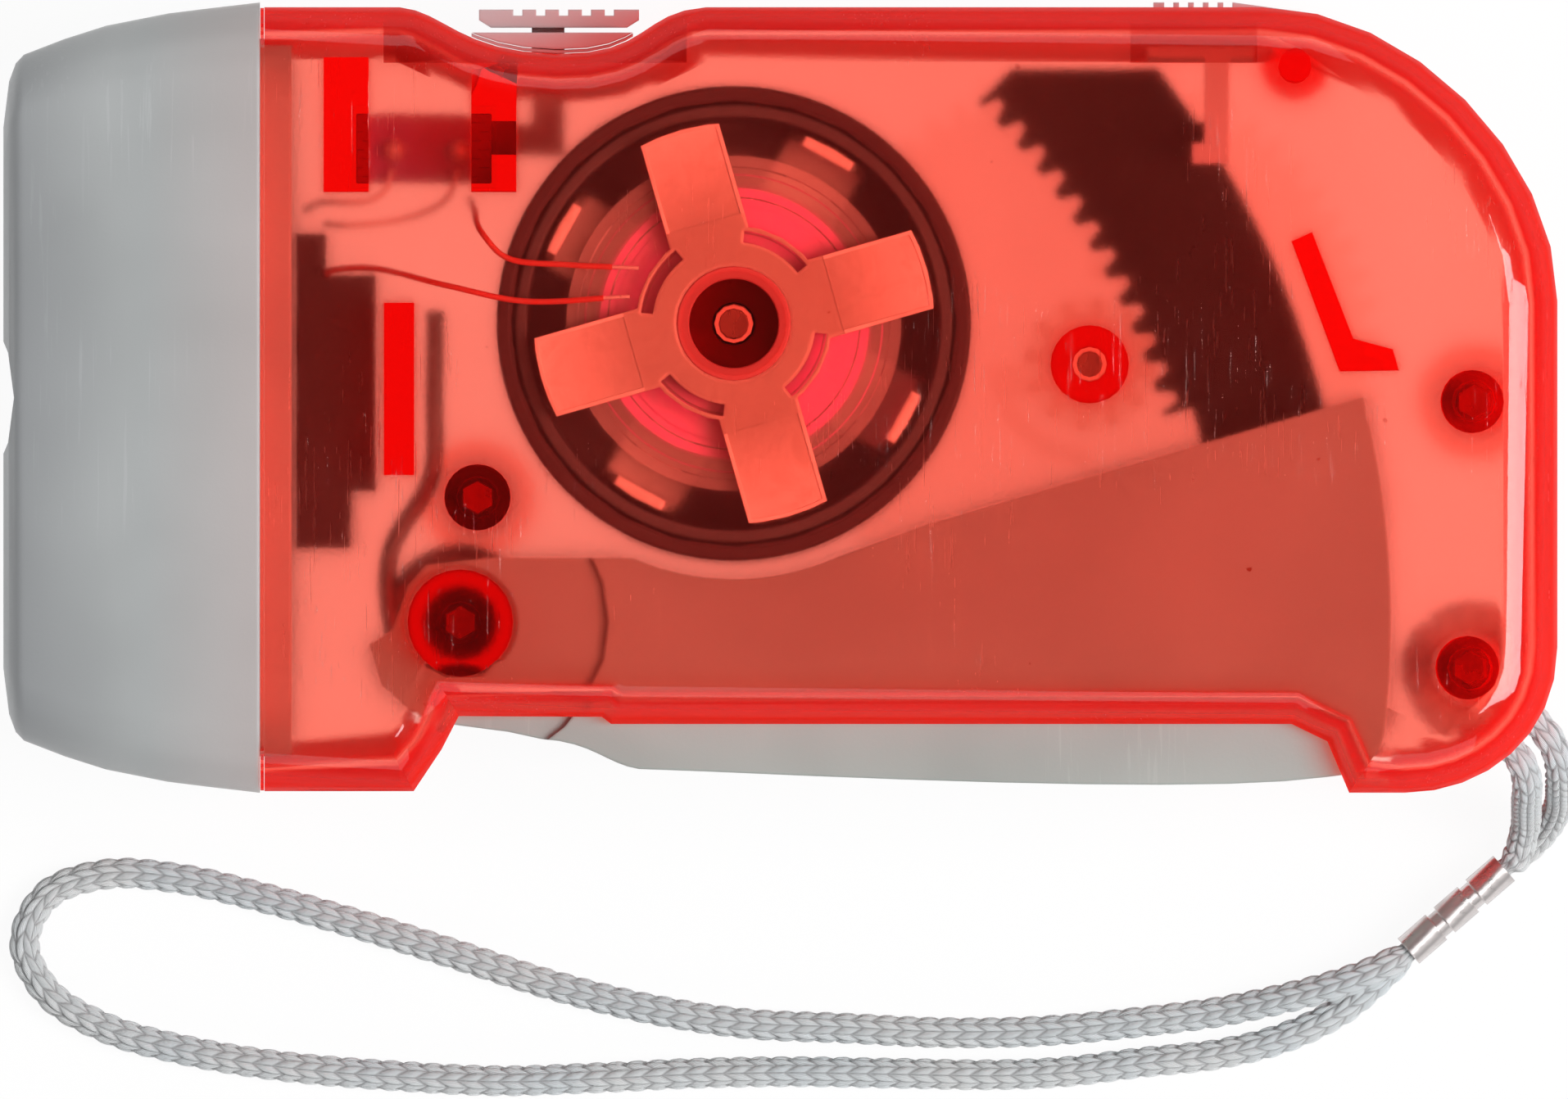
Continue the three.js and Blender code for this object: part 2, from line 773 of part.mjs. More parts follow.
function headCap() {
  const skirtEnd = headLength + skirtLength;
  const skirtHalfHeight = at([0, bodyTopShare]).y - wall - gap;
  const skirtHalfDepth = bodyDepth / 2 - wall - gap;
  const skirtRing = (distance, inset) =>
    headRing(distance, skirtHalfHeight - inset, skirtHalfDepth - inset, headCorner - inset);
  const outer = loft([
    ...headTaperShares.map(([share]) => headSection(share * headLength, 0)),
    skirtRing(headLength, 0),
    skirtRing(skirtEnd, 0),
  ]);
  const bore = loft([
    headSection(rimDepth, wall),
    headSection(headLength / 2, wall),
    headSection(headLength - skirtLength, wall),
    skirtRing(headLength, skirtWall),
    skirtRing(skirtEnd + overrun, skirtWall),
  ]);
  const window = loft([
    headSection(-overrun, rimWidth, 0),
    headSection(rimDepth + gap, rimWidth, 0),
  ]);
  const dip = disc(headRimDipRadius, -overrun, bodyDepth + overrun, {
    x: headX - headRimDipRadius + headRimDip,
    y: 0,
  });
  return cut(outer, bore, window, dip);
}

function lens() {
  const inset = wall + gap;
  return loft([
    headSection(lensFront, inset + lensCrown, rimDepth),
    headSection(lensFront + lensCrown, inset, rimDepth),
    headSection(lensBack, inset, rimDepth),
  ]);
}

const ledOffsets = Array.from({ length: cupCount }, (_, i) => (i - (cupCount - 1) / 2) * cupPitch);

// A profile of [radius, distance behind the rim] points turned about the axis of one light.
function turnedOnAxis(profile, offset, sides = smallSides) {
  const points = profile.map(([radius, distance]) => new THREE.Vector2(radius, distance));
  const geometry = new THREE.LatheGeometry(points, sides).rotateZ(-Math.PI / 2);
  return solid(geometry.translate(headX, offset, midplane));
}

function reflector() {
  const flange = loft([
    headSection(reflectorFront, wall + gap, rimDepth),
    headSection(reflectorFront + reflectorFlange, wall + gap, rimDepth),
  ]);
  const depthMargin = reflectorFlange / 2;
  const body = loft([
    headRing(reflectorFront + depthMargin, reflectorHalfHeight, reflectorHalfDepth, headCorner),
    headRing(reflectorBack, reflectorHalfHeight - cupFloor, reflectorHalfDepth - cupFloor, headCorner),
  ]);
  const bowl = [[0, reflectorFront + cupDepth]];
  const steps = 5;
  for (let i = 1; i <= steps; i++) {
    const radius = (cupRadius * i) / steps;
    bowl.push([radius, reflectorFront + cupDepth * (1 - (radius / cupRadius) ** 2)]);
  }
  bowl.push([cupRadius, reflectorFront - overrun], [0, reflectorFront - overrun]);
  const holeRadius = ledRadius + gap;
  const hole = [
    [0, reflectorFront],
    [holeRadius, reflectorFront],
    [holeRadius, reflectorBack + overrun],
    [0, reflectorBack + overrun],
  ];
  const bowls = ledOffsets.map((offset) => turnedOnAxis(bowl, offset, roundSides));
  const holes = ledOffsets.map((offset) => turnedOnAxis(hole, offset));
  return cut(join(flange, body), ...bowls, ...holes);
}

function led(offset) {
  const base = holderFront - gap;
  const shoulder = base - ledFlange;
  const tip = base - ledLength;
  const profile = [[0, tip]];
  const steps = 4;
  for (let i = 1; i <= steps; i++) {
    const angle = ((i / steps) * Math.PI) / 2;
    profile.push([ledRadius * Math.sin(angle), tip + ledRadius * (1 - Math.cos(angle))]);
  }
  profile.push([ledRadius, shoulder], [ledFlangeRadius, shoulder], [ledFlangeRadius, base], [0, base]);
  return turnedOnAxis(profile, offset);
}

function ledHolder() {
  const low = midplane - holderDepth / 2;
  const high = midplane + holderDepth / 2;
  const step = (right, shares) =>
    block(headX + holderFront, right, at([0, shares.low]).y, at([0, shares.high]).y, low, high);
  return join(
    step(springRibLeft - runGap, holderMiddleShares),
    ...holderStepShares.map((shares) => step(at([shares.right, 0]).x, shares)),
  );
}

// Screws

function screw() {
  const head = disc(screwHeadRadius, screwRecess, screwRecess + screwHeadHeight, undefined, smallSides);
  const top = screwRecess + screwHeadHeight;
  const shank = disc(screwRadius, top - gap, top + screwLength, undefined, smallSides / 2);
  const half = crossLength / 2;
  const slot = crossWidth / 2;
  const low = screwRecess - overrun;
  const high = screwRecess + crossDepth;
  return cut(
    join(head, shank),
    block(-half, half, -slot, slot, low, high),
    block(-slot, slot, -half, half, low, high),
  );
}

// Gears

const sectorCentre = places.pinion.clone().sub(places.pivot);
const sectorModule = sectorCentre.length() / ((sectorTeeth - pinionTeeth) / 2);
const trainCentre = places.flywheel.clone().sub(places.pinion);
const trainModule = trainCentre.length() / ((gearTeeth + flywheelTeeth) / 2);
const sectorAim = sectorCentre.angle();
const trainAim = trainCentre.angle();

const involute = (angle) => Math.tan(angle) - angle;

// Half the angle that a tooth takes at a radius. Slack is what its width gains on the pitch circle.
function halfTooth(teeth, module, radius, slack) {
  const pitch = (module * teeth) / 2;
  const base = pitch * Math.cos(pressureAngle);
  const atPitch = ((Math.PI * module) / 2 + slack) / (2 * pitch);
  const reach = Math.max(radius, base);
  return atPitch + involute(pressureAngle) - involute(Math.acos(base / reach));
}

// The radii that one flank is drawn at, from the root to the tip.
function flankRadii(teeth, module, addendum) {
  const pitch = (module * teeth) / 2;
  const base = pitch * Math.cos(pressureAngle);
  const root = pitch - module * dedendumShare;
  const tip = pitch + module * addendum;
  const start = Math.max(root, base);
  const radii = start > root ? [root] : [];
  const steps = teeth > manyTeeth ? flankSteps.many : flankSteps.few;
  for (let i = 0; i <= steps; i++) radii.push(start + ((tip - start) * i) / steps);
  return radii;
}

function gearOutline(teeth, module, toothAim) {
  const radii = flankRadii(teeth, module, addendumShare);
  const points = [];
  for (let tooth = 0; tooth < teeth; tooth++) {
    const middle = toothAim + (tooth * 2 * Math.PI) / teeth;
    const half = (radius) => halfTooth(teeth, module, radius, -backlash / 2);
    radii.forEach((radius) => points.push(polar(radius, middle - half(radius))));
    radii.toReversed().forEach((radius) => points.push(polar(radius, middle + half(radius))));
  }
  return polygon(points);
}

// A sector with teeth on its inner edge, about the lever's pivot.
function sectorOutline() {
  const pitchAngle = (2 * Math.PI) / sectorTeeth;
  const pitch = (sectorModule * sectorTeeth) / 2;
  const tip = pitch - sectorModule * sectorAddendumShare;
  const root = pitch + sectorModule * dedendumShare;
  const room = Math.asin(sectorTop / sectorRimInner) - sectorAim;
  const spacesAbove = Math.floor(room / pitchAngle - 1 / 2);
  const low = sectorAim - (sectorSpacesBelow + 1 / 2) * pitchAngle;
  const high = sectorAim + (spacesAbove + 1 / 2) * pitchAngle;
  const points = [polar(tip, low)];
  for (let space = -sectorSpacesBelow; space <= spacesAbove; space++) {
    const middle = sectorAim + space * pitchAngle;
    const half = (radius) => halfTooth(sectorTeeth, sectorModule, radius, backlash / 2);
    const radii = [tip, (tip + root) / 2, root];
    radii.forEach((radius) => points.push(polar(radius, middle - half(radius))));
    radii.toReversed().forEach((radius) => points.push(polar(radius, middle + half(radius))));
  }
  points.push(polar(tip, high));
  const arcSteps = 16;
  for (let i = 0; i <= arcSteps; i++) {
    points.push(polar(sectorOuterRadius, high + ((low - high) * i) / arcSteps));
  }
  return polygon(points);
}

function arcBand(inner, outer, from, to) {
  const shape = new THREE.Shape();
  shape.absarc(0, 0, outer, from, to, false);
  shape.absarc(0, 0, inner, to, from, true);
  return shape;
}

const sectorHigh = sectorLow + sectorThickness;
const sectorRimInner = sectorModule * (sectorTeeth / 2 + dedendumShare) + sectorRimStep;
const sectorScrewCircle = (sectorOuterRadius + sectorRimInner) / 2;
const sectorTop = at([0, sectorTopShare]).y - places.pivot.y;

// Modelled about the pivot.
function sectorGear() {
  const toothed = plate(sectorOutline(), sectorLow, sectorHigh);
  const pitchAngle = (2 * Math.PI) / sectorTeeth;
  const tabHigh = sectorAim - sectorSpacesBelow * pitchAngle;
  const tab = plate(
    arcBand(sectorRimInner, sectorOuterRadius, sectorTabLow / 2, tabHigh),
    sectorLow,
    sectorHigh,
  );
  const above = block(
    0,
    bodyLength,
    sectorTop,
    sectorTop + bodyHeight,
    sectorLow - overrun,
    sectorHigh + overrun,
  );
  const lug = block(
    lugCorner.x,
    lugCorner.x + lugLength,
    lugCorner.y,
    lugCorner.y + lugHeight,
    sectorHigh - sectorThickness / 2,
    sectorHigh + lugThickness,
  );
  const holes = sectorScrewAngles.map((angle) => {
    const centre = new THREE.Vector2(...polar(sectorScrewCircle, angle));
    return disc(sectorScrewRadius + gap, 0, bodyDepth, centre, smallSides);
  });
  return cut(join(toothed, tab, lug), above, ...holes);
}

const ribPlateHigh = sectorLow - gap;
const ribPlateLow = ribPlateHigh - ribPlateThickness;

function sectorScrew() {
  const low = sectorHigh + gap;
  const headSides = smallSides;
  const slotHalf = crossWidth / 2;
  const head = disc(sectorScrewHeadRadius, low, low + sectorScrewHead, undefined, headSides);
  const shank = disc(sectorScrewRadius, ribPlateLow + gap, low + gap, undefined, smallSides / 2);
  const high = low + sectorScrewHead;
  const slot = block(
    -bodyHeight,
    bodyHeight,
    -slotHalf,
    slotHalf,
    high - sectorScrewHead / 2,
    high + overrun,
  );
  return cut(join(head, shank), slot);
}

// The lever's outline in plan, about its pivot.
function leverOutline() {
  const point = (x, y) => at([x, y]).sub(places.pivot);
  const outline = new THREE.Shape();
  const line = (x, y) => outline.lineTo(...point(x, y).toArray());
  const bend = (a, b, c) => outline.bezierCurveTo(a.x, a.y, b.x, b.y, c.x, c.y);
  const bore = pivotPostRadius + gap;
  const [start, ...ear] = earShares.map(([x, y]) => [x * bore, y * bore]);
  outline.moveTo(...start);
  ear.forEach(([x, y]) => outline.lineTo(x, y));
  const wheel = places.flywheel.clone().sub(places.pivot);
  const scoop = flywheelRadius + runGap + leverEndClear;
  const down = -Math.PI / 2;
  outline.absarc(wheel.x, wheel.y, scoop, down - leverScoopHalf, down + leverScoopHalf, false);
  line(0.594, 0.34);
  outline.absarc(0, 0, leverEndRadius, leverEndHighAngle, leverEndLowAngle, true);
  bend(point(0.89, 0.05), point(0.877, 0.023), point(0.852, 0.02));
  bend(point(0.789, 0.002), point(0.631, 0.011), point(0.451, 0.027));
  line(0.409, 0.03);
  bend(point(0.388, 0.036), point(0.38, 0.064), point(0.346, 0.068));
  line(0.325, 0.077);
  line(0.29, 0.086);
  line(0.261, 0.104);
  line(0.243, 0.136);
  return outline;
}

// Modelled about its pivot: a channel with its open side towards the gears.
function lever() {
  const outline = leverOutline();
  const low = leverLow + leverWall;
  const high = leverHigh - leverWall;
  const point = (x, y) => at([x, y]).sub(places.pivot);
  const inside = plate(outline, low, high).translate([-leverWall, leverWall, 0]);
  const earEnd = point(0.294, 0);
  const front = block(-bodyLength, earEnd.x, -bodyHeight, bodyHeight, low, high);
  const endTop = point(0.82, 0.34);
  const aboveEnd = block(endTop.x, bodyLength, endTop.y, bodyHeight, low, high);
  const channel = cut(plate(outline, leverLow, leverHigh), inside, front, aboveEnd);
  const ribStart = point(0.728, 0);
  const rib = common(
    plate(outline, ribPlateLow, ribPlateHigh),
    block(ribStart.x, bodyLength, -bodyHeight, bodyHeight, ribPlateLow, ribPlateHigh),
  );
  const holes = sectorScrewAngles.map((angle) => {
    const centre = new THREE.Vector2(...polar(sectorScrewCircle, angle));
    return disc(sectorScrewRadius + gap, ribPlateLow - gap, ribPlateHigh + gap, centre, smallSides);
  });
  return cut(
    join(channel, rib),
    disc(pivotPostRadius + gap, 0, bodyDepth),
    disc(earRadius, leverHigh - earRecess, leverHigh + overrun),
    disc(earRadius, leverLow - overrun, leverLow + earRecess),
    ...holes,
  );
}

// Modelled about its axis: teeth above, a hub, and two sprung pawls below.
function drivePinion() {
  const teeth = plate(gearOutline(pinionTeeth, sectorModule, sectorAim), pinionTeethLow, pinionHigh);
  const pawlHigh = pawlLow + pawlThickness;
  const hub = disc(pinionHubRadius, pawlLow, pinionTeethLow + gap);
  const carrier = disc(pawlDiscRadius, pawlLow, pawlHigh);
  const arm = arcBand(pawlReach - pawlWidth, pawlReach, 0, Math.PI / 2);
  const link = pawlDiscRadius - pawlWidth;
  const arms = [0, 180].map((turn) => {
    const curved = plate(arm, pawlLow, pawlHigh);
    const spoke = block(link, pawlReach - pawlWidth / 2, 0, 2 * pawlWidth, pawlLow, pawlHigh);
    return join(curved, spoke).rotate([0, 0, turn]);
  });
  const bore = disc(gearAxleRadius + gap, 0, bodyDepth, undefined, smallSides);
  return cut(join(teeth, hub, carrier, ...arms), bore);
}

// Modelled about its axis: a toothed rim, a thinner web and a ratchet ring.
function driveGear() {
  const high = gearLow + gearFace;
  const blank = plate(gearOutline(gearTeeth, trainModule, trainAim), gearLow, high);
  const pitch = (trainModule * gearTeeth) / 2;
  const rimInner = pitch - trainModule * dedendumShare - gearRimWidth;
  const dish = (low, top) =>
    turned([
      [ratchetOuterRadius + gearRimWidth, low],
      [rimInner, low],
      [rimInner, top],
      [ratchetOuterRadius + gearRimWidth, top],
      [ratchetOuterRadius + gearRimWidth, low],
    ]);
  const ring = disc(ratchetOuterRadius, high - gearWebCut, high + ratchetHeight);
  const points = [];
  for (let i = 0; i < ratchetTeeth; i++) {
    const angle = (i * 2 * Math.PI) / ratchetTeeth;
    points.push(polar(ratchetInnerRadius, angle));
    points.push(polar(ratchetInnerRadius + ratchetToothDepth, angle));
  }
  const well = plate(polygon(points), high, high + ratchetHeight + overrun);
  return cut(
    join(blank, ring),
    dish(high - gearWebCut, high + overrun),
    dish(gearLow - overrun, gearLow + gearWebCut),
    well,
    disc(gearAxleRadius + gap, 0, bodyDepth, undefined, smallSides),
  );
}

// Modelled about its axis: a cup with its pinion on the closed side.
function flywheel() {
  const hubLow = flywheelPinionLow + flywheelPinionFace;
  const inner = flywheelRadius - flywheelRimWall;
  const cup = turned([
    [0, hubLow - gap],
    [flywheelHubRadius, hubLow - gap],
    [flywheelHubRadius, flywheelWebLow],
    [flywheelRadius, flywheelWebLow],
    [flywheelRadius, flywheelRimHigh],
    [inner, flywheelRimHigh],
    [inner, flywheelWebHigh],
    [0, flywheelWebHigh],
  ]);
  const toothAim = trainAim + Math.PI + Math.PI / flywheelTeeth;
  const outline = gearOutline(flywheelTeeth, trainModule, toothAim);
  const teeth = plate(outline, flywheelPinionLow, hubLow);
  return cut(join(cup, teeth), disc(axleRadius + gap, 0, bodyDepth, undefined, smallSides));
}

function ringMagnet() {
  const outer = flywheelRadius - flywheelRimWall - gap;
  const inner = outer - magnetThickness;
  const low = flywheelWebHigh + gap;
  const high = flywheelRimHigh - gap;
  return turned([
    [inner, low],
    [outer, low],
    [outer, high],
    [inner, high],
    [inner, low],
  ]);
}

// A star of pole plates whose tips are bent over the coil. Modelled about the axis.
function clawPlate(low, clawLow, clawHigh, turn) {
  const half = clawWidth / 2;
  const tipHalf = clawTipWidth / 2;
  const inner = clawTipRadius - statorPlate;
  let star = disc(statorHubRadius, low, low + statorPlate);
  for (let i = 0; i < clawCount; i++) {
    const arm = block(0, clawTipRadius, -half, half, low, low + statorPlate);
    const upward = clawHigh > low + statorPlate;
    const wide = upward ? clawLow : clawHigh;
    const narrow = upward ? clawHigh : clawLow;
    const side = polygon([
      [-half, wide],
      [half, wide],
      [tipHalf, narrow],
      [-tipHalf, narrow],
    ]);
    const geometry = new THREE.ExtrudeGeometry(side, { depth: statorPlate, bevelEnabled: false });
    geometry.rotateX(Math.PI / 2).rotateZ(Math.PI / 2).translate(inner, 0, 0);
    const angle = THREE.MathUtils.radToDeg(turn + (i * 2 * Math.PI) / clawCount);
    star = join(star, join(arm, solid(geometry)).rotate([0, 0, angle]));
  }
  return common(star, disc(clawTipRadius, 0, bodyDepth, undefined, 2 * roundSides));
}

function statorFrontPlate() {
  const star = clawPlate(frontPlateLow, rearPlateHigh + magnetEndGap, frontPlateHigh, frontClawTurn);
  const slotInner = statorPostRadius + gap + bobbinCoreWall;
  const slots = [0, 1, 2, 3].map((i) => {
    const from = frontClawTurn + (i * Math.PI) / 2 + Math.PI / 8;
    const slot = arcBand(slotInner + gap, slotInner + gap + statorPlate, from, from + Math.PI / 4);
    return plate(slot, frontPlateLow - gap, frontPlateHigh + gap, smallSides / 2);
  });
  return cut(star, disc(statorPostRadius + gap, 0, bodyDepth), ...slots);
}

function statorRearPlate() {
  const turn = frontClawTurn + Math.PI / clawCount;
  const star = clawPlate(rearPlateLow, rearPlateLow, frontPlateLow - magnetEndGap, turn);
  return cut(star, disc(statorPostRadius + gap, 0, bodyDepth));
}

function coilBobbin() {
  const bore = statorPostRadius + gap;
  const core = bore + bobbinCoreWall;
  return turned([
    [bore, bobbinLow],
    [bobbinRadius, bobbinLow],
    [bobbinRadius, bobbinLow + bobbinFlange],
    [core, bobbinLow + bobbinFlange],
    [core, bobbinHigh - bobbinFlange],
    [bobbinRadius, bobbinHigh - bobbinFlange],
    [bobbinRadius, bobbinHigh],
    [bore, bobbinHigh],
    [bore, bobbinLow],
  ]);
}

function coilWinding() {
  const inner = statorPostRadius + gap + bobbinCoreWall + gap;
  const low = bobbinLow + bobbinFlange + gap;
  const high = bobbinHigh - bobbinFlange - gap;
  const crown = gap;
  return turned([
    [inner, low],
    [coilRadius - crown, low],
    [coilRadius, low + crown],
    [coilRadius, high - crown],
    [coilRadius - crown, high],
    [inner, high],
    [inner, low],
  ]);
}

const axle = (radius) =>
  disc(radius, lowerInner + axleBossFloor + gap, upperInner - axleBossFloor - gap, undefined, smallSides);

// The torsion spring winds round the pivot posts. One leg stands against the upper shell's rib
// and the other lies in the lever's channel. Modelled about the pivot.
function springPoints() {
  const leg = (x, share) => new THREE.Vector2(x, at([0, share]).y).sub(places.pivot);
  const upperLeg = leg(springLegX, springLegShares.top);
  const bend = leg(springLegX - gap, springLegShares.bend);
  const lowerLeg = at(springFootShares).sub(places.pivot);
  const rise = springPitch * springTurns;
  const high = midplane + rise / 2 + springWire;
  const points = [];
  points.push(new THREE.Vector3(upperLeg.x, upperLeg.y, high));
  points.push(new THREE.Vector3((upperLeg.x + bend.x) / 2, (upperLeg.y + bend.y) / 2, high));
  points.push(new THREE.Vector3(bend.x, bend.y, high));
  points.push(new THREE.Vector3(-springCoilRadius, springCoilRadius, high));
  const steps = springTurns * springStepsPerTurn;
  for (let i = 0; i <= steps; i++) {
    const angle = Math.PI + (i * 2 * Math.PI) / springStepsPerTurn;
    const level = high - (i / springStepsPerTurn) * springPitch;
    points.push(new THREE.Vector3(...polar(springCoilRadius, angle), level));
  }
  const low = high - rise;
  const legCount = 4;
  for (let i = 1; i <= legCount; i++) {
    const share = i / legCount;
    const x = lowerLeg.x * share;
    const y = -springCoilRadius + (lowerLeg.y + springCoilRadius) * share;
    points.push(new THREE.Vector3(x, y, low));
  }
  return points;
}

// The least distance between the surfaces of two turns, measured on the wire's own points.
function leastGap(points, radius, apart) {
  let least = Infinity;
  for (let i = 0; i < points.length; i++) {
    for (let j = i + apart; j < points.length; j++) {
      least = Math.min(least, points[i].distanceTo(points[j]) - 2 * radius);
    }
  }
  return least;
}

// Rings square to the path at each of its points, joined into one tube.
function wireForm(points, radius, sides) {
  const rings = points.map((point, i) => {
    const before = points[Math.max(i - 1, 0)];
    const after = points[Math.min(i + 1, points.length - 1)];
    const along = after.clone().sub(before).normalize();
    const up = new THREE.Vector3(0, 0, 1);
    const across = up.clone().cross(along).normalize();
    const lift = along.clone().cross(across);
    return Array.from({ length: sides }, (_, k) => {
      const angle = (k * 2 * Math.PI) / sides;
      return point
        .clone()
        .addScaledVector(across, radius * Math.cos(angle))
        .addScaledVector(lift, radius * Math.sin(angle));
    });
  });
  return loft(rings);
}

function torsionSpring() {
  const points = springPoints();
  const radius = springWire / 2;
  const least = leastGap(points, radius, springStepsPerTurn / 2);
  console.log("torsion spring: least gap to itself " + least.toFixed(2) + " mm");
  return wireForm(points, radius, springSides);
}

// Sliders

function lightSlider() {
  const left = at([sliderShares.left, sliderShares.low]);
  const right = at([sliderShares.right, sliderShares.high]);
  const half = sliderWidth / 2;
  const foot = left.y + sliderFootHeight;
  const side = polygon([
    [left.x + sliderFoot, left.y],
    [right.x - sliderFoot, left.y],
    [right.x, foot],
    [right.x, right.y],
    [left.x, right.y],
    [left.x, foot],
  ]);
  const button = plate(side, midplane - half, midplane + half);
  const neckLow = at([sliderNeckShares.left, sliderNeckShares.low]);
  const neckRight = at([sliderNeckShares.right, 0]).x;
  const neckHalf = sliderNeckWidth / 2;
  const neck = block(neckLow.x, neckRight, neckLow.y, left.y + gap, midplane - neckHalf, wiperArmHigh);
  const armShares = { ...wiperArmShares, right: sliderNeckShares.right };
  const arm = shareBlock(armShares, midplane - neckHalf, wiperArmHigh);
  const grooves = Array.from({ length: sliderRidges }, (_, i) => {
    const share = sliderRidgeShares.first + i * sliderRidgeShares.pitch;
    const x = left.x + share * (right.x - left.x);
    return block(x, x + ridgeWidth, right.y - ridgeDepth, right.y + overrun, 0, bodyDepth);
  });
  return cut(join(button, neck, arm), ...grooves);
}

function switchPlate() {
  const left = at([switchPlateShares.left, 0]).x;
  const right = at([switchPlateShares.right, switchPlateShares.top]);
  const half = switchPlateWidth / 2;
  const slab = block(left, right.x, right.y - overrun, right.y, midplane - half, midplane + half);
  const body = roundedBody(-gap, edgeRound, 0, bodyDepth);
  const neckLeft = at([sliderNeckShares.left, 0]).x - sliderTravel - runGap;
  const neckRight = at([sliderNeckShares.right, 0]).x + runGap;
  const neckHalf = sliderNeckWidth / 2 + gap;
  const slot = block(
    neckLeft,
    neckRight,
    right.y - 2 * overrun,
    right.y + overrun,
    midplane - neckHalf,
    midplane + neckHalf,
  );
  return cut(slab, body, slot);
}

// A bent brass leaf between the slider's arm and the board.
function wiper() {
  const low = at([wiperShares.left, wiperShares.low]);
  const high = at([wiperShares.right, wiperShares.high]);
  const bottom = wiperArmHigh + gap;
  const top = boardLow - gap;
  const middle = (low.x + high.x) / 2;
  const crest = (high.x - low.x) / 4;
  const profile = polygon([
    [low.x, bottom],
    [high.x, bottom],
    [high.x, bottom + wiperLeaf],
    [middle + crest, top],
    [middle - crest, top],
    [middle - crest - wiperLeaf, top - wiperLeaf],
    [middle + crest - wiperLeaf, top - wiperLeaf],
    [high.x - 2 * wiperLeaf, bottom + wiperLeaf],
    [low.x, bottom + wiperLeaf],
  ]);
  const depth = high.y - low.y;
  const geometry = new THREE.ExtrudeGeometry(profile, { depth, bevelEnabled: false });
  return solid(geometry.rotateX(Math.PI / 2).translate(0, high.y, 0));
}

function lockSlider() {
  const left = at([lockShares.left, lockShares.low]);
  const right = at([lockShares.right, lockShares.high]);
  const half = lockWidth / 2;
  const knob = block(left.x, right.x, left.y, right.y, midplane - half, midplane + half);
  const neckLeft = at([lockNeckShares.left, 0]).x;
  const neckRight = at([lockNeckShares.right, 0]).x;
  const flangeHigh = topInner - gap;
  const flangeLow = flangeHigh - lockFlangeThickness;
  const neckHalf = lockNeckWidth / 2;
  const neck = block(neckLeft, neckRight, flangeLow, left.y + gap, midplane - neckHalf, midplane + neckHalf);
  const stemLow = sectorHigh + lugThickness + runGap;
  const stemHigh = stemLow + lockStemThickness;
  const hookLeft = places.pivot.x + lugCorner.x;
  const hookRight = hookLeft + lockHookWidth;
  const hookHigh = places.pivot.y + lugCorner.y - gap;
  const hookLow = hookHigh - lockHookHeight;
  const hook = block(hookLeft, hookRight, hookLow, hookHigh, stemLow, stemHigh);
  const stem = block(hookRight - lockStemWidth, hookRight, hookLow, flangeHigh, stemLow, stemHigh);
  const flangeLeft = Math.min(hookLeft, neckLeft) - lockFlangeMargin;
  const flangeRight = places.alignmentPin.x - pinSocketRadius - gap;
  const flange = block(flangeLeft, flangeRight, flangeLow, flangeHigh, midplane - lockFlangeDrop, stemHigh);
  const ridgeLeft = at([lockRidgeShares.left, 0]).x;
  const ridgeRight = at([lockRidgeShares.right, 0]).x;
  const pitch = (ridgeRight - ridgeLeft) / lockRidges;
  const grooves = Array.from({ length: lockRidges + 1 }, (_, i) => {
    const x = ridgeLeft + i * pitch;
    return block(x, x + ridgeWidth, right.y - ridgeDepth, right.y + overrun, 0, bodyDepth);
  });
  const slope = tailWedge(right);
  return cut(join(knob, neck, flange, stem, hook), slope, ...grooves);
}

// The knob's tail end falls with the curve of the shell.
function tailWedge(corner) {
  const wedge = polygon([
    [corner.x - lockTailLength, corner.y],
    [corner.x + gap, corner.y - lockTailDrop],
    [corner.x + gap, corner.y + gap],
    [corner.x - lockTailLength, corner.y + gap],
  ]);
  return plate(wedge, 0, bodyDepth);
}

function switchBoard() {
  return shareBlock(boardShares, boardLow, boardHigh);
}

function terminal() {
  const low = boardHigh + gap;
  const mid = low + terminalHeight / 2;
  const high = low + terminalHeight;
  return turned(
    [
      [0, low],
      [terminalRadius, low],
      [terminalRadius * 0.8, mid],
      [terminalRadius / 3, high],
      [0, high],
    ],
    smallSides / 2,
  );
}

// Wires, by points chosen along their routes
const holderTop = midplane + holderDepth / 2;
const wireLevel = upperInner - wireRadius - gap;
const terminalLevel = boardHigh + gap + terminalHeight / 2;
const leadLevel = midplane + ledRadius;
const mid = (a, b) => (a + b) / 2;
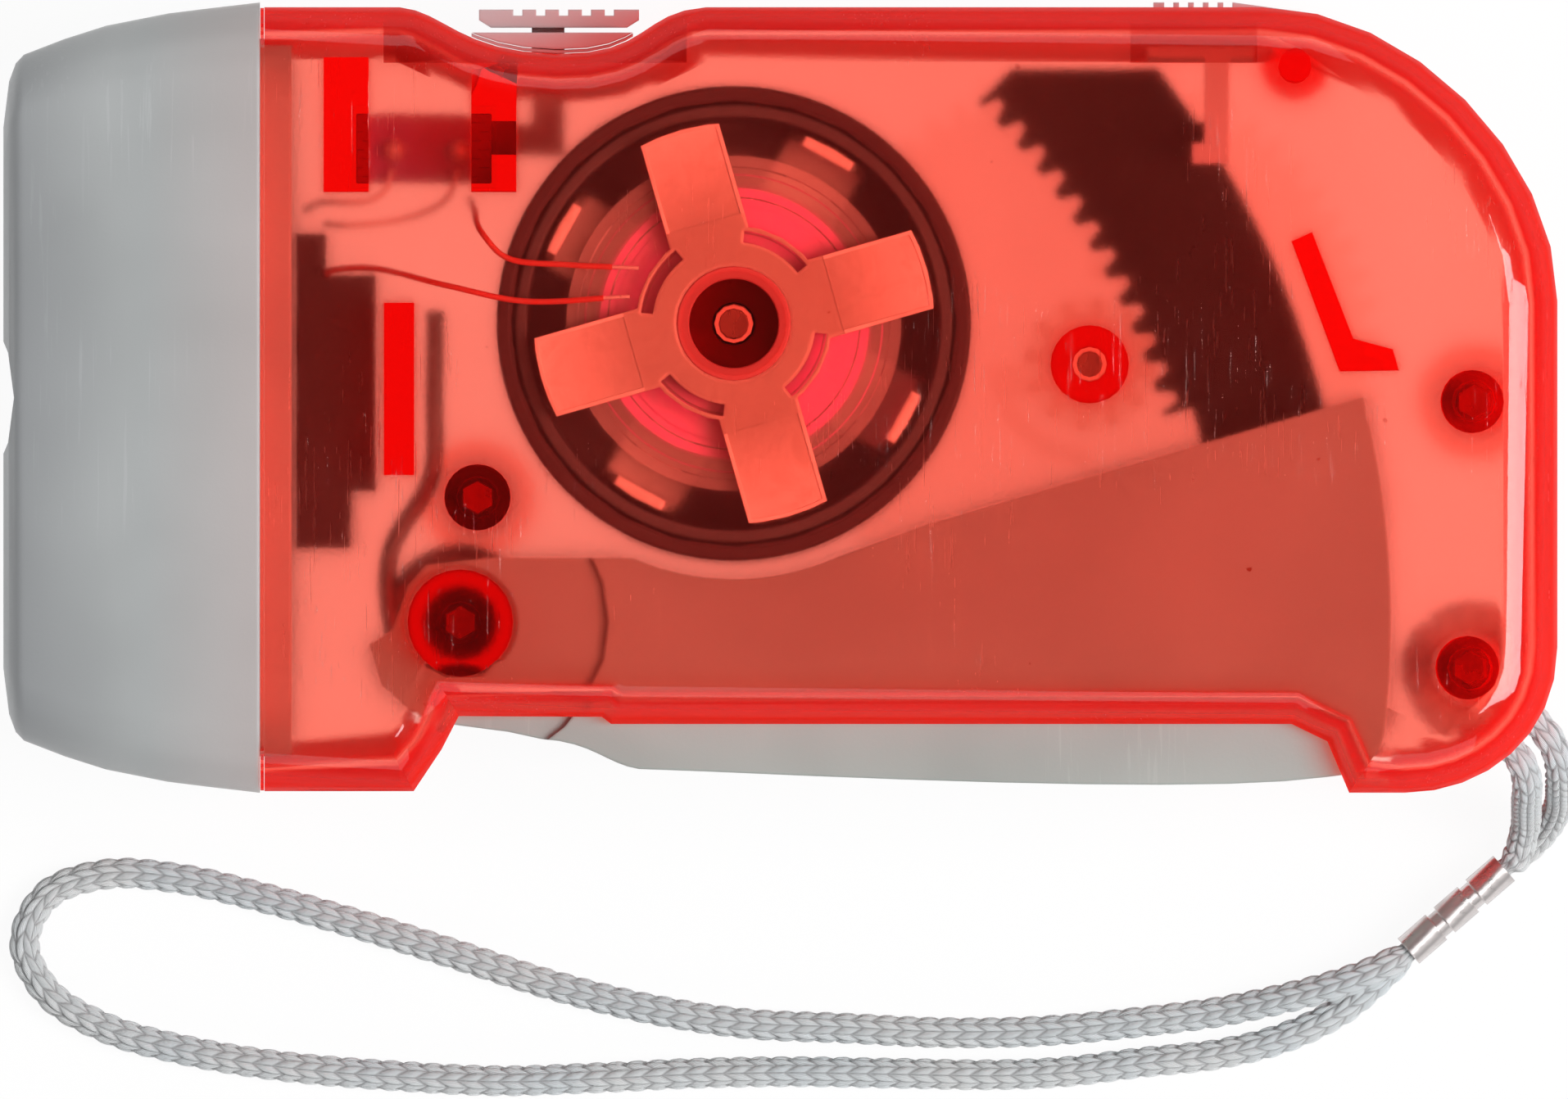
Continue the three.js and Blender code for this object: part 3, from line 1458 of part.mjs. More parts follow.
// Points as shares of the body in plan, and their levels
const wireRoutes = {
  switch_wire_long: [
    [[0.1942, 0.7366], leadLevel],
    [[0.2029, 0.7462], mid(leadLevel, terminalLevel)],
    [[0.2194, 0.7462], terminalLevel - gap],
    [[0.235, 0.7481], terminalLevel],
    [[0.2456, 0.7615], terminalLevel],
    [[0.2505, 0.7882], terminalLevel],
  ],
  switch_wire_short: [
    [[0.2068, 0.7195], boardHigh],
    [[0.2243, 0.7176], terminalLevel + gap],
    [[0.2612, 0.7271], terminalLevel],
    [[0.2854, 0.7519], terminalLevel],
    [[0.2922, 0.7882], terminalLevel],
  ],
  generator_wire_long: [
    [[0.3, 0.75], mid(boardLow, boardHigh)],
    [[0.3029, 0.7366], mid(boardHigh, wireLevel)],
    [[0.3087, 0.7061], wireLevel],
    [[0.3233, 0.6775], wireLevel],
    [[0.365, 0.6679], wireLevel],
  ],
  generator_wire_short: [
    [[0.2087, 0.6565], holderTop + gap],
    [[0.2087, 0.6603], holderTop + 3 * wireRadius],
    [[0.235, 0.6641], mid(holderTop, wireLevel)],
    [[0.2864, 0.6412], wireLevel],
    [[0.335, 0.6221], wireLevel],
  ],
};

// Where the generator's wires end, from its middle, as shares of the stator hub's radius
const wireEndShares = {
  generator_wire_long: [-0.97, 0.565],
  generator_wire_short: [-1.06, 0.274],
};

function wire(name) {
  const points = wireRoutes[name].map(([shares, level]) => new THREE.Vector3(...at(shares), level));
  if (name in wireEndShares) {
    const [x, y] = wireEndShares[name].map((share) => share * statorHubRadius);
    points.push(new THREE.Vector3(places.flywheel.x + x, places.flywheel.y + y, wireLevel));
  }
  return tube(points, wireRadius, wireSides, wireSteps);
}

// Strap

const wristLoopRoute = [
  [41.4, -36.9, 3.55],
  [39.6, -37.9, 3.5],
  [37.2, -38.8, 3.2],
  [33.5, -39.8, 2.3],
  [29.2, -40.7, 1.3],
  [23.8, -41.4, 1.15],
  [17.2, -42, 1.15],
  [10.7, -42.1, 1.15],
  [4.2, -41.8, 1.15],
  [-2.3, -41.5, 1.15],
  [-8.8, -40.5, 1.15],
  [-15.3, -38.9, 1.15],
  [-21.9, -36.8, 1.15],
  [-28.4, -34.8, 1.15],
  [-34.9, -33, 1.15],
  [-39.8, -31.9, 1.15],
  [-44.7, -31.6, 1.15],
  [-48.6, -33, 1.15],
  [-50.1, -36.2, 1.15],
  [-48.5, -39.5, 1.15],
  [-44.7, -41.8, 1.15],
  [-39.8, -43.2, 1.15],
  [-33.3, -44.3, 1.15],
  [-25.1, -45, 1.15],
  [-18.6, -45.3, 1.15],
  [-12.1, -45.1, 1.15],
  [-5.6, -44.8, 1.15],
  [1, -44.7, 1.15],
  [7.5, -44.8, 1.15],
  [14, -44.9, 1.15],
  [18.9, -44.7, 1.15],
  [23.8, -44.1, 1.15],
  [29.2, -43.5, 1.15],
  [33.5, -42.4, 1.15],
  [37.2, -40.6, 1.15],
  [39.6, -38.6, 1.15],
  [41.4, -36.9, 1.15],
];

// From the hole in the corner down to the sleeve. The first strand ends under the second.
const strandRoutes = [
  [
    [50.1, -21.5, 18],
    [50.85, -22.4, 17.85],
    [51.4, -23.4, 17.35],
    [51.65, -24.35, 16.35],
    [51.7, -25.1, 14.9],
    [51.7, -25.7, 13],
    [51.7, -26.1, 10.9],
    [51.7, -26.45, 8.8],
    [51.6, -26.9, 6.7],
    [51.35, -27.55, 4.75],
    [50.85, -28.4, 3.1],
    [50.1, -29.3, 1.95],
    [49.2, -30.15, 1.3],
    [48.2, -31, 1.15],
  ],
  [
    [48.25, -23.05, 18],
    [48.95, -23.9, 17.8],
    [49.35, -24.75, 17.25],
    [49.5, -25.5, 16.3],
    [49.5, -26.1, 14.9],
    [49.45, -26.5, 13.2],
    [49.45, -26.9, 11.3],
    [49.45, -27.3, 9.3],
    [49.45, -27.75, 7.3],
    [49.4, -28.35, 5.7],
    [49.2, -29.2, 4.5],
    [48.95, -30.25, 3.8],
    [48.2, -31, 3.55],
  ],
];

const cordPath = (route) => route.map((point) => new THREE.Vector3(...point));

// The middle of the strap: in through the hole, round the rear post and out again, beside itself.
function anchorPath() {
  const side = anchorSideShares.map(([along, across]) => [along * anchorRadius, across * anchorRadius]);
  const turnSteps = 6;
  const turn = Array.from({ length: turnSteps + 1 }, (_, i) =>
    polar(anchorRadius, Math.PI / 2 + (i * Math.PI) / turnSteps),
  );
  const back = side.toReversed().map(([along, across]) => [along, -across]);
  return [...side, ...turn, ...back].map(([along, across]) => {
    const place = new THREE.Vector2(along, across).rotateAround(new THREE.Vector2(), strapAim);
    return new THREE.Vector3(place.x, place.y, midplane);
  });
}

// A two-lobed crimped sleeve that both strands meet at both of its ends.
function ferrule() {
  const start = new THREE.Vector3(...strandRoutes[0].at(-1));
  const end = new THREE.Vector3(...wristLoopRoute.at(-1));
  const along = end.clone().sub(start);
  const length = along.length() - 2 * gap;
  const half = ferruleRise / 2;
  const lobe = (radius, low, high, level) => disc(radius, low, high, { x: level, y: 0 }, smallSides);
  const waist = ferruleWaist / 2;
  let sleeve = join(
    lobe(ferruleRadius, 0, length, -half),
    lobe(ferruleRadius, 0, length, half),
    block(-half, half, -waist, waist, 0, length),
  );
  for (const share of [1 / 3, 2 / 3]) {
    const low = length * share - ferruleNip;
    const high = length * share + ferruleNip;
    const band = block(-ferruleLobeReach, ferruleLobeReach, -ferruleRadius, ferruleRadius, low, high);
    const core = ferruleRadius - ferruleNipDepth;
    const kept = join(
      lobe(core, low, high, -half),
      lobe(core, low, high, half),
      block(-half, half, -waist, waist, low, high),
    );
    sleeve = cut(sleeve, cut(band, kept));
  }
  const heading = THREE.MathUtils.radToDeg(Math.atan2(along.y, along.x));
  const foot = start.clone().addScaledVector(along.normalize(), gap);
  return sleeve.rotate([0, 90, heading]).translate([foot.x, foot.y, start.z + half]);
}

// Assembly

function finish(colour, roughness, metalness = 0, opacity = 1) {
  return new THREE.MeshStandardMaterial({
    color: colour,
    roughness,
    metalness,
    transparent: opacity < 1,
    opacity,
  });
}

const finishes = {
  redShell: () => finish(0xc01822, 0.15, 0, 0.55),
  greyPlastic: () => finish(0x8d9096, 0.45),
  darkPlastic: () => finish(0x24242a, 0.5),
  naturalPlastic: () => finish(0xe8e2d4, 0.4),
  clearPlastic: () => finish(0xf2f4f6, 0.08, 0, 0.3),
  chrome: () => finish(0xdfe3e8, 0.08, 1),
  steel: () => finish(0xb4b8bd, 0.3, 1),
  brass: () => finish(0xc9a45a, 0.3, 1),
  board: () => finish(0x3b4aa0, 0.5),
  tape: () => finish(0xc65a5a, 0.5),
  magnet: () => finish(0x33333a, 0.6, 0.4),
  solder: () => finish(0xc9ccd0, 0.35, 1),
  redWire: () => finish(0xc03028, 0.5),
  paleWire: () => finish(0xe4e0dc, 0.5),
  cord: () => finish(0xb9bcbf, 0.85),
};

// A named mesh of a solid, with flat faces.
function piece(name, made, material) {
  const { numProp, vertProperties, triVerts } = made.getMesh();
  const positions = new Float32Array((vertProperties.length / numProp) * 3);
  for (let i = 0; i < positions.length / 3; i++) {
    positions.set(vertProperties.subarray(i * numProp, i * numProp + 3), i * 3);
  }
  const geometry = new THREE.BufferGeometry();
  geometry.setAttribute("position", new THREE.BufferAttribute(positions, 3));
  geometry.setIndex(new THREE.BufferAttribute(triVerts, 1));
  geometry.computeVertexNormals();
  const mesh = new THREE.Mesh(geometry, material);
  mesh.name = name;
  return mesh;
}

// A group whose origin is a place in plan.
function station(place, ...meshes) {
  const group = new THREE.Group();
  group.position.set(place.x, place.y, 0);
  group.add(...meshes);
  return group;
}

const housing = new THREE.Group();
housing.add(
  piece("lower_shell", lowerShell(), finishes.redShell()),
  piece("upper_shell", upperShell(), finishes.redShell()),
  piece("head_cap", headCap(), finishes.greyPlastic()),
  piece("lens", lens(), finishes.clearPlastic()),
  piece("reflector", reflector(), finishes.chrome()),
  piece("led_holder", ledHolder(), finishes.darkPlastic()),
  ...ledOffsets.map((offset, i) => piece("led_" + (i + 1), led(offset), finishes.clearPlastic())),
  piece("switch_board", switchBoard(), finishes.board()),
  piece("switch_plate", switchPlate(), finishes.greyPlastic()),
  ...Object.keys(wireRoutes).map((name) =>
    piece(name, wire(name), name.startsWith("switch") ? finishes.paleWire() : finishes.redWire()),
  ),
);

const fasteners = screwSites.map(({ name, place }) => station(place, piece(name, screw(), finishes.steel())));

const terminals = terminalShares.map((share, i) =>
  station(at(share), piece("terminal_" + (i + 1), terminal(), finishes.solder())),
);

const generator = station(
  places.flywheel,
  piece("stator_front_plate", statorFrontPlate(), finishes.steel()),
  piece("stator_rear_plate", statorRearPlate(), finishes.steel()),
  piece("coil_bobbin", coilBobbin(), finishes.clearPlastic()),
  piece("coil_winding", coilWinding(), finishes.tape()),
  piece("flywheel_axle", axle(axleRadius), finishes.steel()),
  piece("flywheel", flywheel(), finishes.darkPlastic()),
  piece("ring_magnet", ringMagnet(), finishes.magnet()),
);

const gears = station(
  places.pinion,
  piece("gear_axle", axle(gearAxleRadius), finishes.steel()),
  piece("drive_pinion", drivePinion(), finishes.naturalPlastic()),
  piece("drive_gear", driveGear(), finishes.naturalPlastic()),
);

const sectorScrews = sectorScrewAngles.map((angle, i) => {
  const place = new THREE.Vector2(...polar(sectorScrewCircle, angle));
  return station(place, piece("sector_screw_" + (i + 1), sectorScrew(), finishes.steel()));
});

const squeezeLever = station(
  places.pivot,
  piece("lever", lever(), finishes.greyPlastic()),
  piece("sector_gear", sectorGear(), finishes.darkPlastic()),
  piece("torsion_spring", torsionSpring(), finishes.steel()),
  ...sectorScrews,
);

const sliders = new THREE.Group();
sliders.add(
  piece("switch_slider", lightSlider(), finishes.greyPlastic()),
  piece("switch_wiper", wiper(), finishes.brass()),
  piece("lock_slider", lockSlider(), finishes.greyPlastic()),
);

const cordTube = (path, steps) => tube(path, cordRadius, cordSides, steps);
const strap = new THREE.Group();
strap.add(
  piece("wrist_loop", cordTube(cordPath(wristLoopRoute), loopSteps), finishes.cord()),
  ...strandRoutes.map((route, i) =>
    piece("strap_strand_" + (i + 1), cordTube(cordPath(route), strandSteps), finishes.cord()),
  ),
  piece("ferrule", ferrule(), finishes.steel()),
  station(places.rearLowerScrew, piece("strap_anchor", cordTube(anchorPath(), anchorSteps), finishes.cord())),
);

const flashlight = new THREE.Group();
flashlight.add(housing, ...fasteners, ...terminals, generator, gears, squeezeLever, sliders, strap);

export default flashlight;
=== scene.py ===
import json
import math

import bpy
from mathutils import Matrix, Vector


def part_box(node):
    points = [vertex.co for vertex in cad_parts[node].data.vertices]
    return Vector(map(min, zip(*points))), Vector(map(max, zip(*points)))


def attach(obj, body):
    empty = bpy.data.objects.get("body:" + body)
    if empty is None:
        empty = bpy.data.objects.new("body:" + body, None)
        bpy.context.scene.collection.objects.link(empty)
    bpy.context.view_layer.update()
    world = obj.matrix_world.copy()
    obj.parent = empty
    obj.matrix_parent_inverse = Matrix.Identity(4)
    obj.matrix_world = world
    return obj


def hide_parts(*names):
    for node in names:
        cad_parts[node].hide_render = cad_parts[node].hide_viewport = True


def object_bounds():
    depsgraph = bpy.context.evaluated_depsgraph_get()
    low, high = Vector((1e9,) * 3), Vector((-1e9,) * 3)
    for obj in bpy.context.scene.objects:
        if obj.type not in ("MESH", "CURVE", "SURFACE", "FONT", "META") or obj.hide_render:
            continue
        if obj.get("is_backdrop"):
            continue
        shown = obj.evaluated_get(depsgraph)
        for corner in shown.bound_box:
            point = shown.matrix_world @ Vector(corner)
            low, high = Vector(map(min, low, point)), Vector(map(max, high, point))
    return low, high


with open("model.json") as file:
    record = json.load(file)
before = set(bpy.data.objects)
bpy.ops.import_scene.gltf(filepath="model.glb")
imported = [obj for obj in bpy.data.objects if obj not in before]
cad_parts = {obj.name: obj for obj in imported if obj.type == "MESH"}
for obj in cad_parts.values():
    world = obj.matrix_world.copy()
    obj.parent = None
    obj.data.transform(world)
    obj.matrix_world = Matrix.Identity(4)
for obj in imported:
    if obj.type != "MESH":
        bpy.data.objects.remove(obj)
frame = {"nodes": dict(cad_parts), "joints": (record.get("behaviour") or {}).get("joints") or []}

MM = 0.001
model_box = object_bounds()
nodes = frame["nodes"]


def levels(node):
    """How high a node of the model starts and ends, in millimetres."""
    return tuple(corner.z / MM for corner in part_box(node))


def axis_of(joint_name):
    """Where the upright axis of one of the model's joints meets the table."""
    place = next(joint["pos_m"] for joint in frame["joints"] if joint["name"] == joint_name)
    return Vector((*place[:2], 0))


# Places that the pieces here share with the model
BODY_DEPTH = levels("upper_shell")[1]
MIDPLANE = BODY_DEPTH / 2 * MM
PIVOT = axis_of("lever_swing")
FLYWHEEL = axis_of("flywheel_spin")


def post_of(screw):
    """The middle of the post that a case screw goes into, at the seam between the shells."""
    low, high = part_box(screw)
    return Vector((*((low + high) / 2).xy, MIDPLANE))


# Camera


PHOTO_WIDTH = 103.93 * MM
PHOTO_CENTRE = (0.24 * MM, -10.07 * MM)
CAMERA_LEVEL = 0.8


def add_camera():
    """Straight above, with the photograph's frame."""
    data = bpy.data.cameras.new("overhead")
    data.type = "ORTHO"
    data.ortho_scale = PHOTO_WIDTH
    data.clip_end = 10
    camera = bpy.data.objects.new("overhead", data)
    camera.location = (*PHOTO_CENTRE, CAMERA_LEVEL)
    bpy.context.scene.collection.objects.link(camera)
    bpy.context.scene.camera = camera


add_camera()


# Mesh helpers


def make_piece(name, points, faces, uvs=None, smooth=True):
    """A piece from its points and faces, with the lay of a cord as its UV map if there is one."""
    mesh = bpy.data.meshes.new(name)
    mesh.from_pydata([tuple(p) for p in points], [], faces)
    if uvs is not None:
        layer = mesh.uv_layers.new(name="lay")
        for loop in mesh.loops:
            layer.data[loop.index].uv = uvs[loop.vertex_index]
    mesh.polygons.foreach_set("use_smooth", [smooth] * len(mesh.polygons))
    mesh.validate()
    mesh.update()
    piece = bpy.data.objects.new(name, mesh)
    bpy.context.scene.collection.objects.link(piece)
    return piece


def smooth_path(points, spacing):
    """Points at an even spacing on the centripetal curve through some points."""
    points = [Vector(p) for p in points]
    before = points[0] * 2 - points[1]
    after = points[-1] * 2 - points[-2]
    chain = [before, *points, after]
    fine = []
    for i in range(1, len(chain) - 2):
        a, b, c, d = chain[i - 1 : i + 3]
        knots = [0.0]
        for start, end in ((a, b), (b, c), (c, d)):
            knots.append(knots[-1] + max((end - start).length, 1e-9) ** 0.5)
        steps = max(4, math.ceil((c - b).length / spacing) * 2)
        for k in range(steps):
            t = knots[1] + (knots[2] - knots[1]) * k / steps

            def between(p, q, low, high):
                return p * ((knots[high] - t) / (knots[high] - knots[low])) + q * (
                    (t - knots[low]) / (knots[high] - knots[low])
                )

            ab, bc, cd = between(a, b, 0, 1), between(b, c, 1, 2), between(c, d, 2, 3)
            fine.append(between(between(ab, bc, 0, 2), between(bc, cd, 1, 3), 1, 2))
    fine.append(points[-1])
    along = [0.0]
    for start, end in zip(fine, fine[1:]):
        along.append(along[-1] + (end - start).length)
    count = max(2, round(along[-1] / spacing))
    even, here = [], 0
    for k in range(count + 1):
        reach = along[-1] * k / count
        while here < len(along) - 2 and along[here + 1] < reach:
            here += 1
        gap = max(along[here + 1] - along[here], 1e-12)
        even.append(fine[here].lerp(fine[here + 1], min(1.0, (reach - along[here]) / gap)))
    return even


def path_length(path):
    return sum((end - start).length for start, end in zip(path, path[1:]))


def sweep(name, path, radius, sides):
    """A closed tube along a path. Its radius is a number, or a function of the distance and angle."""
    reach = radius if callable(radius) else lambda along, angle: radius
    points, uvs, faces = [], [], []
    tangent = (path[1] - path[0]).normalized()
    across = tangent.orthogonal().normalized()
    along = 0.0
    for i, centre in enumerate(path):
        heading = (path[min(i + 1, len(path) - 1)] - path[max(i - 1, 0)]).normalized()
        across = (tangent.rotation_difference(heading) @ across).normalized()
        tangent = heading
        up = tangent.cross(across)
        if i:
            along += (centre - path[i - 1]).length
        for k in range(sides):
            angle = 2 * math.pi * k / sides
            out = across * math.cos(angle) + up * math.sin(angle)
            points.append(centre + out * reach(along, angle))
            uvs.append((along / MM, angle / (2 * math.pi)))
    for i in range(len(path) - 1):
        for k in range(sides):
            n = (k + 1) % sides
            here, there = i * sides, (i + 1) * sides
            faces.append((here + k, here + n, there + n, there + k))
    last = (len(path) - 1) * sides
    faces.append(tuple(reversed(range(sides))))
    faces.append(tuple(last + k for k in range(sides)))
    return make_piece(name, points, faces, uvs)


# The wrist strap is one cord: round the rear post in the shell, out of the hole in the corner,
# through the crimped sleeve, round the loop, and back the same way.
CORD_RADIUS = 1.1 * MM
REAR_POST = post_of("rear_lower_screw")
STRAP_AIM = math.radians(-50)
ANCHOR_RADIUS = 3.45 * MM
ANCHOR_BACK = (180, 150, 120, 90)
ANCHOR_SIDE = [(1.54, 0.354), (1.23, 0.42), (0.87, 0.64), (0.45, 0.9)]
WRIST_LOOP = [
    (41.4, -36.9, 3.55), (39.6, -37.9, 3.5), (37.2, -38.8, 3.2), (33.5, -39.8, 2.3),
    (29.2, -40.7, 1.3), (23.8, -41.4, 1.15), (17.2, -42, 1.15), (10.7, -42.1, 1.15),
    (4.2, -41.8, 1.15), (-2.3, -41.5, 1.15), (-8.8, -40.5, 1.15), (-15.3, -38.9, 1.15),
    (-21.9, -36.8, 1.15), (-28.4, -34.8, 1.15), (-34.9, -33, 1.15), (-39.8, -31.9, 1.15),
    (-44.7, -31.6, 1.15), (-48.6, -33, 1.15), (-50.1, -36.2, 1.15), (-48.5, -39.5, 1.15),
    (-44.7, -41.8, 1.15), (-39.8, -43.2, 1.15), (-33.3, -44.3, 1.15), (-25.1, -45, 1.15),
    (-18.6, -45.3, 1.15), (-12.1, -45.1, 1.15), (-5.6, -44.8, 1.15), (1, -44.7, 1.15),
    (7.5, -44.8, 1.15), (14, -44.9, 1.15), (18.9, -44.7, 1.15), (23.8, -44.1, 1.15),
    (29.2, -43.5, 1.15), (33.5, -42.4, 1.15), (37.2, -40.6, 1.15), (39.6, -38.6, 1.15),
    (41.4, -36.9, 1.15),
]
OUTER_STRAND = [
    (50.1, -21.5, 18), (50.85, -22.4, 17.85), (51.4, -23.4, 17.35), (51.65, -24.35, 16.35),
    (51.7, -25.1, 14.9), (51.7, -25.7, 13), (51.7, -26.1, 10.9), (51.7, -26.45, 8.8),
    (51.6, -26.9, 6.7), (51.35, -27.55, 4.75), (50.85, -28.4, 3.1), (50.1, -29.3, 1.95),
    (49.2, -30.15, 1.3), (48.2, -31, 1.15),
]
INNER_STRAND = [
    (48.25, -23.05, 18), (48.95, -23.9, 17.8), (49.35, -24.75, 17.25), (49.5, -25.5, 16.3),
    (49.5, -26.1, 14.9), (49.45, -26.5, 13.2), (49.45, -26.9, 11.3), (49.45, -27.3, 9.3),
    (49.45, -27.75, 7.3), (49.4, -28.35, 5.7), (49.2, -29.2, 4.5), (48.95, -30.25, 3.8),
    (48.2, -31, 3.55),
]


def strap_turn(side):
    """From the back of the rear post to the hole, on one side of the strap."""
    angles = [math.radians(angle) for angle in ANCHOR_BACK]
    share = [(math.cos(angle), math.sin(angle)) for angle in angles]
    share += list(reversed(ANCHOR_SIDE))
    turn = Matrix.Rotation(STRAP_AIM, 3, "Z")
    return [REAR_POST + turn @ Vector((x, side * y, 0)) * ANCHOR_RADIUS for x, y in share]


def strap_route():
    """Round the rear post, out along one strand, round the loop and back along the other."""
    metres = lambda route: [Vector(p) * MM for p in route]
    there = strap_turn(1) + metres(OUTER_STRAND)[1:]
    loop = metres(reversed(WRIST_LOOP))
    back = metres(reversed(INNER_STRAND))[:-1] + list(reversed(strap_turn(-1)))
    return there + loop + back


STITCH = 1.36 * MM
WALES = 10
STITCH_LEAN = 0.62
STITCH_RELIEF = 0.34 * MM
# The model's strap has flat sides, so a round one stays this much inside them
CORD_SLACK = 0.07 * MM
CORD_SIDES = 50


def braid_radius(along, angle):
    """Slanting stitches in columns, leaning to the left and to the right in turn."""
    column = angle / (2 * math.pi) * WALES
    wale = math.floor(column) % WALES
    beside = column - math.floor(column) - 0.5
    lean = 1 if wale % 2 else -1
    step = along / STITCH + lean * STITCH_LEAN * beside
    within = 2 * (step - math.floor(step) - 0.5)
    leaf = (1 - within**2) ** 0.5 if abs(within) < 1 else 0
    dome = 1 - (2 * abs(beside)) ** 3
    return CORD_RADIUS - CORD_SLACK - STITCH_RELIEF * (1 - leaf * (0.35 + 0.65 * dome))


SLEEVE = (Vector((48.4, -30.85, 0)) * MM, Vector((41.2, -37.05, 0)) * MM)
SLEEVE_SQUEEZE = 0.34
SLEEVE_REACH = 1.6 * MM
SLEEVE_MOUTH = 0.5 * MM


def pressed(point):
    """How far the crimped sleeve presses the cord together here, 0 to 1."""
    start, end = SLEEVE
    axis = end - start
    flat = Vector((point.x, point.y, 0)) - start
    share = flat.dot(axis) / axis.length_squared
    aside = (flat - axis * share).length
    if aside > SLEEVE_REACH:
        return 0.0
    depth = min(share, 1 - share) * axis.length / SLEEVE_MOUTH
    return min(1.0, max(0.0, depth + 0.5))


def add_strap():
    """The whole strap as one plaited cord, pressed together where the sleeve grips it."""
    path = smooth_path(strap_route(), (0.17) * MM)
    spacing = path_length(path) / (len(path) - 1)
    press = [1 - SLEEVE_SQUEEZE * pressed(point) for point in path]

    def radius(along, angle):
        return braid_radius(along, angle) * press[min(len(press) - 1, round(along / spacing))]

    strap = sweep("wrist_strap", path, radius, CORD_SIDES)
    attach(strap, "housing")
    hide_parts("wrist_loop", "strap_strand_1", "strap_strand_2", "strap_anchor")
    path_length(path)
    return strap


strap = add_strap()


# The torsion spring, and the wires from the switch board and the generator

SPRING_WIRE = 0.6 * MM
SPRING_TURN = 4.65
SPRING_STEP = math.radians(45)
SPRING_STEPS = 34
SPRING_FALL = 1.72 / 8
SPRING_TOP = 22.855
UPPER_LEG = [(-22.88, 5.765), (-22.95, 0.26), (-23.18, -5.239)]
LOWER_LEG_END = (-1.027, -21.798)


def add_spring():
    """The lever's torsion spring: down from its upper leg in turns round the pivot."""
    points = [Vector((*place, SPRING_TOP)) for place in UPPER_LEG]
    start = Vector((PIVOT.x / MM, PIVOT.y / MM, SPRING_TOP))
    points.append(start + Vector((-SPRING_TURN, SPRING_TURN, 0)))
    for step in range(SPRING_STEPS + 1):
        angle = math.pi + SPRING_STEP * step
        out = Vector((math.cos(angle), math.sin(angle), 0)) * SPRING_TURN
        points.append(start + out - Vector((0, 0, SPRING_FALL * step)))
    low = Vector((*LOWER_LEG_END, SPRING_TOP - SPRING_FALL * SPRING_STEPS))
    leave = Vector((start.x, start.y - SPRING_TURN, low.z))
    points += [leave.lerp(low, k / 4) for k in range(1, 5)]
    path = smooth_path([p * MM for p in points], 0.4 * MM)
    spring = sweep("spring_wire", path, SPRING_WIRE, 14)
    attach(spring, "housing")
    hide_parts("torsion_spring")
    return spring


WIRE_RADIUS = 0.2 * MM
CORE_RADIUS = 0.12 * MM
BARE_PART = 12
WIRES = {
    "switch_wire_long": [
        (-31.49, 12.4, 20.5), (-30.6, 12.9, 22.25), (-28.9, 12.9, 23.7),
        (-27.29, 13, 24), (-26.2, 13.7, 24), (-25.69, 15.1, 24),
    ],
    "switch_wire_short": [
        (-30.19, 11.5, 23.2), (-28.39, 11.4, 24.3), (-24.59, 11.9, 24),
        (-22.1, 13.2, 24), (-21.4, 15.1, 24),
    ],
    "generator_wire_long": [
        (-20.6, 13.1, 22.6), (-20.3, 12.4, 28.33), (-19.7, 10.8, 33.45),
        (-18.2, 9.3, 33.45), (-13.9, 8.8, 33.45), (-9.39, 8.6, 33.45),
    ],
    "generator_wire_short": [
        (-30, 8.2, 27.3), (-30, 8.4, 28.35), (-27.29, 8.6, 30.23),
        (-22, 7.4, 33.45), (-16.99, 6.4, 33.45), (-9.98, 6.71, 33.45),
    ],
}


def add_wire(node, route):
    """An insulated wire, the last twelfth of it stripped, as two pieces."""
    path = smooth_path([Vector(p) * MM for p in route], 0.25 * MM)
    bare = max(4, len(path) // BARE_PART)
    cover = sweep(node + "_cover", path[: len(path) - bare], WIRE_RADIUS, 12)
    core = sweep(node + "_core", path[-bare - 2 :], CORE_RADIUS, 10)
    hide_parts(node)
    for piece in (cover, core):
        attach(piece, "housing")
    return cover, core


# Turned pieces of the generator, rounder than the model's, and the parts that close small gaps

FLYWHEEL_RADIUS = 15.7
RIM_WALL = 0.9
# How far the round band covers the model's flat-sided rim: inside, outside, below and above
BAND_COVER = (0.06, 0.04, 0.03, 0.04)
RIM_LEVELS = (20.4, levels("flywheel")[1])
MAGNET_WALL = 0.8
MAGNET_GAP = 0.3
MAGNET_LEVELS = levels("ring_magnet")
BOBBIN_RADIUS = 11.1
BOBBIN_LEVELS = levels("coil_bobbin")
BOBBIN_BORE = 3.8
BOBBIN_CORE = 5.1
BOBBIN_FLANGE = 1.0
BOBBIN_GROOVES = (10.4, 8.4, 6.6)
GROOVE_WIDTH = 0.6
GROOVE_DEPTH = 0.2
COIL_RADIUS = 9.0
COIL_GAP = 0.3
COIL_HEIGHT = 6.6
COIL_RINGS = 25
TAPE_THICKNESS = 0.1
TAPE_PITCH = 2.3
WEB_TOP = 21.9
WASHER_RADII = (1.4, 3.4)
WASHER_LEVELS = (WEB_TOP + 0.08, WEB_TOP + 0.4)
BUSH_RADII = (2.95, 3.78)
BUSH_LEVELS = (33.3, 34.0)


def turned(name, body, profile, swell=None, sides=120):
    """A ring about the flywheel's axis, from its closed profile of (radius, level) in millimetres."""
    points, faces = [], []
    for k in range(sides):
        angle = 2 * math.pi * k / sides
        for radius, level in profile:
            reach = radius + (swell(angle, level) if swell else 0)
            out = Vector((reach * math.cos(angle), reach * math.sin(angle), level))
            points.append(out * MM + FLYWHEEL)
    count = len(profile)
    for k in range(sides):
        here, there = k * count, (k + 1) % sides * count
        for i in range(count):
            n = (i + 1) % count
            faces.append((here + i, there + i, there + n, here + n))
    piece = make_piece(name, points, faces)
    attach(piece, body)
    return piece


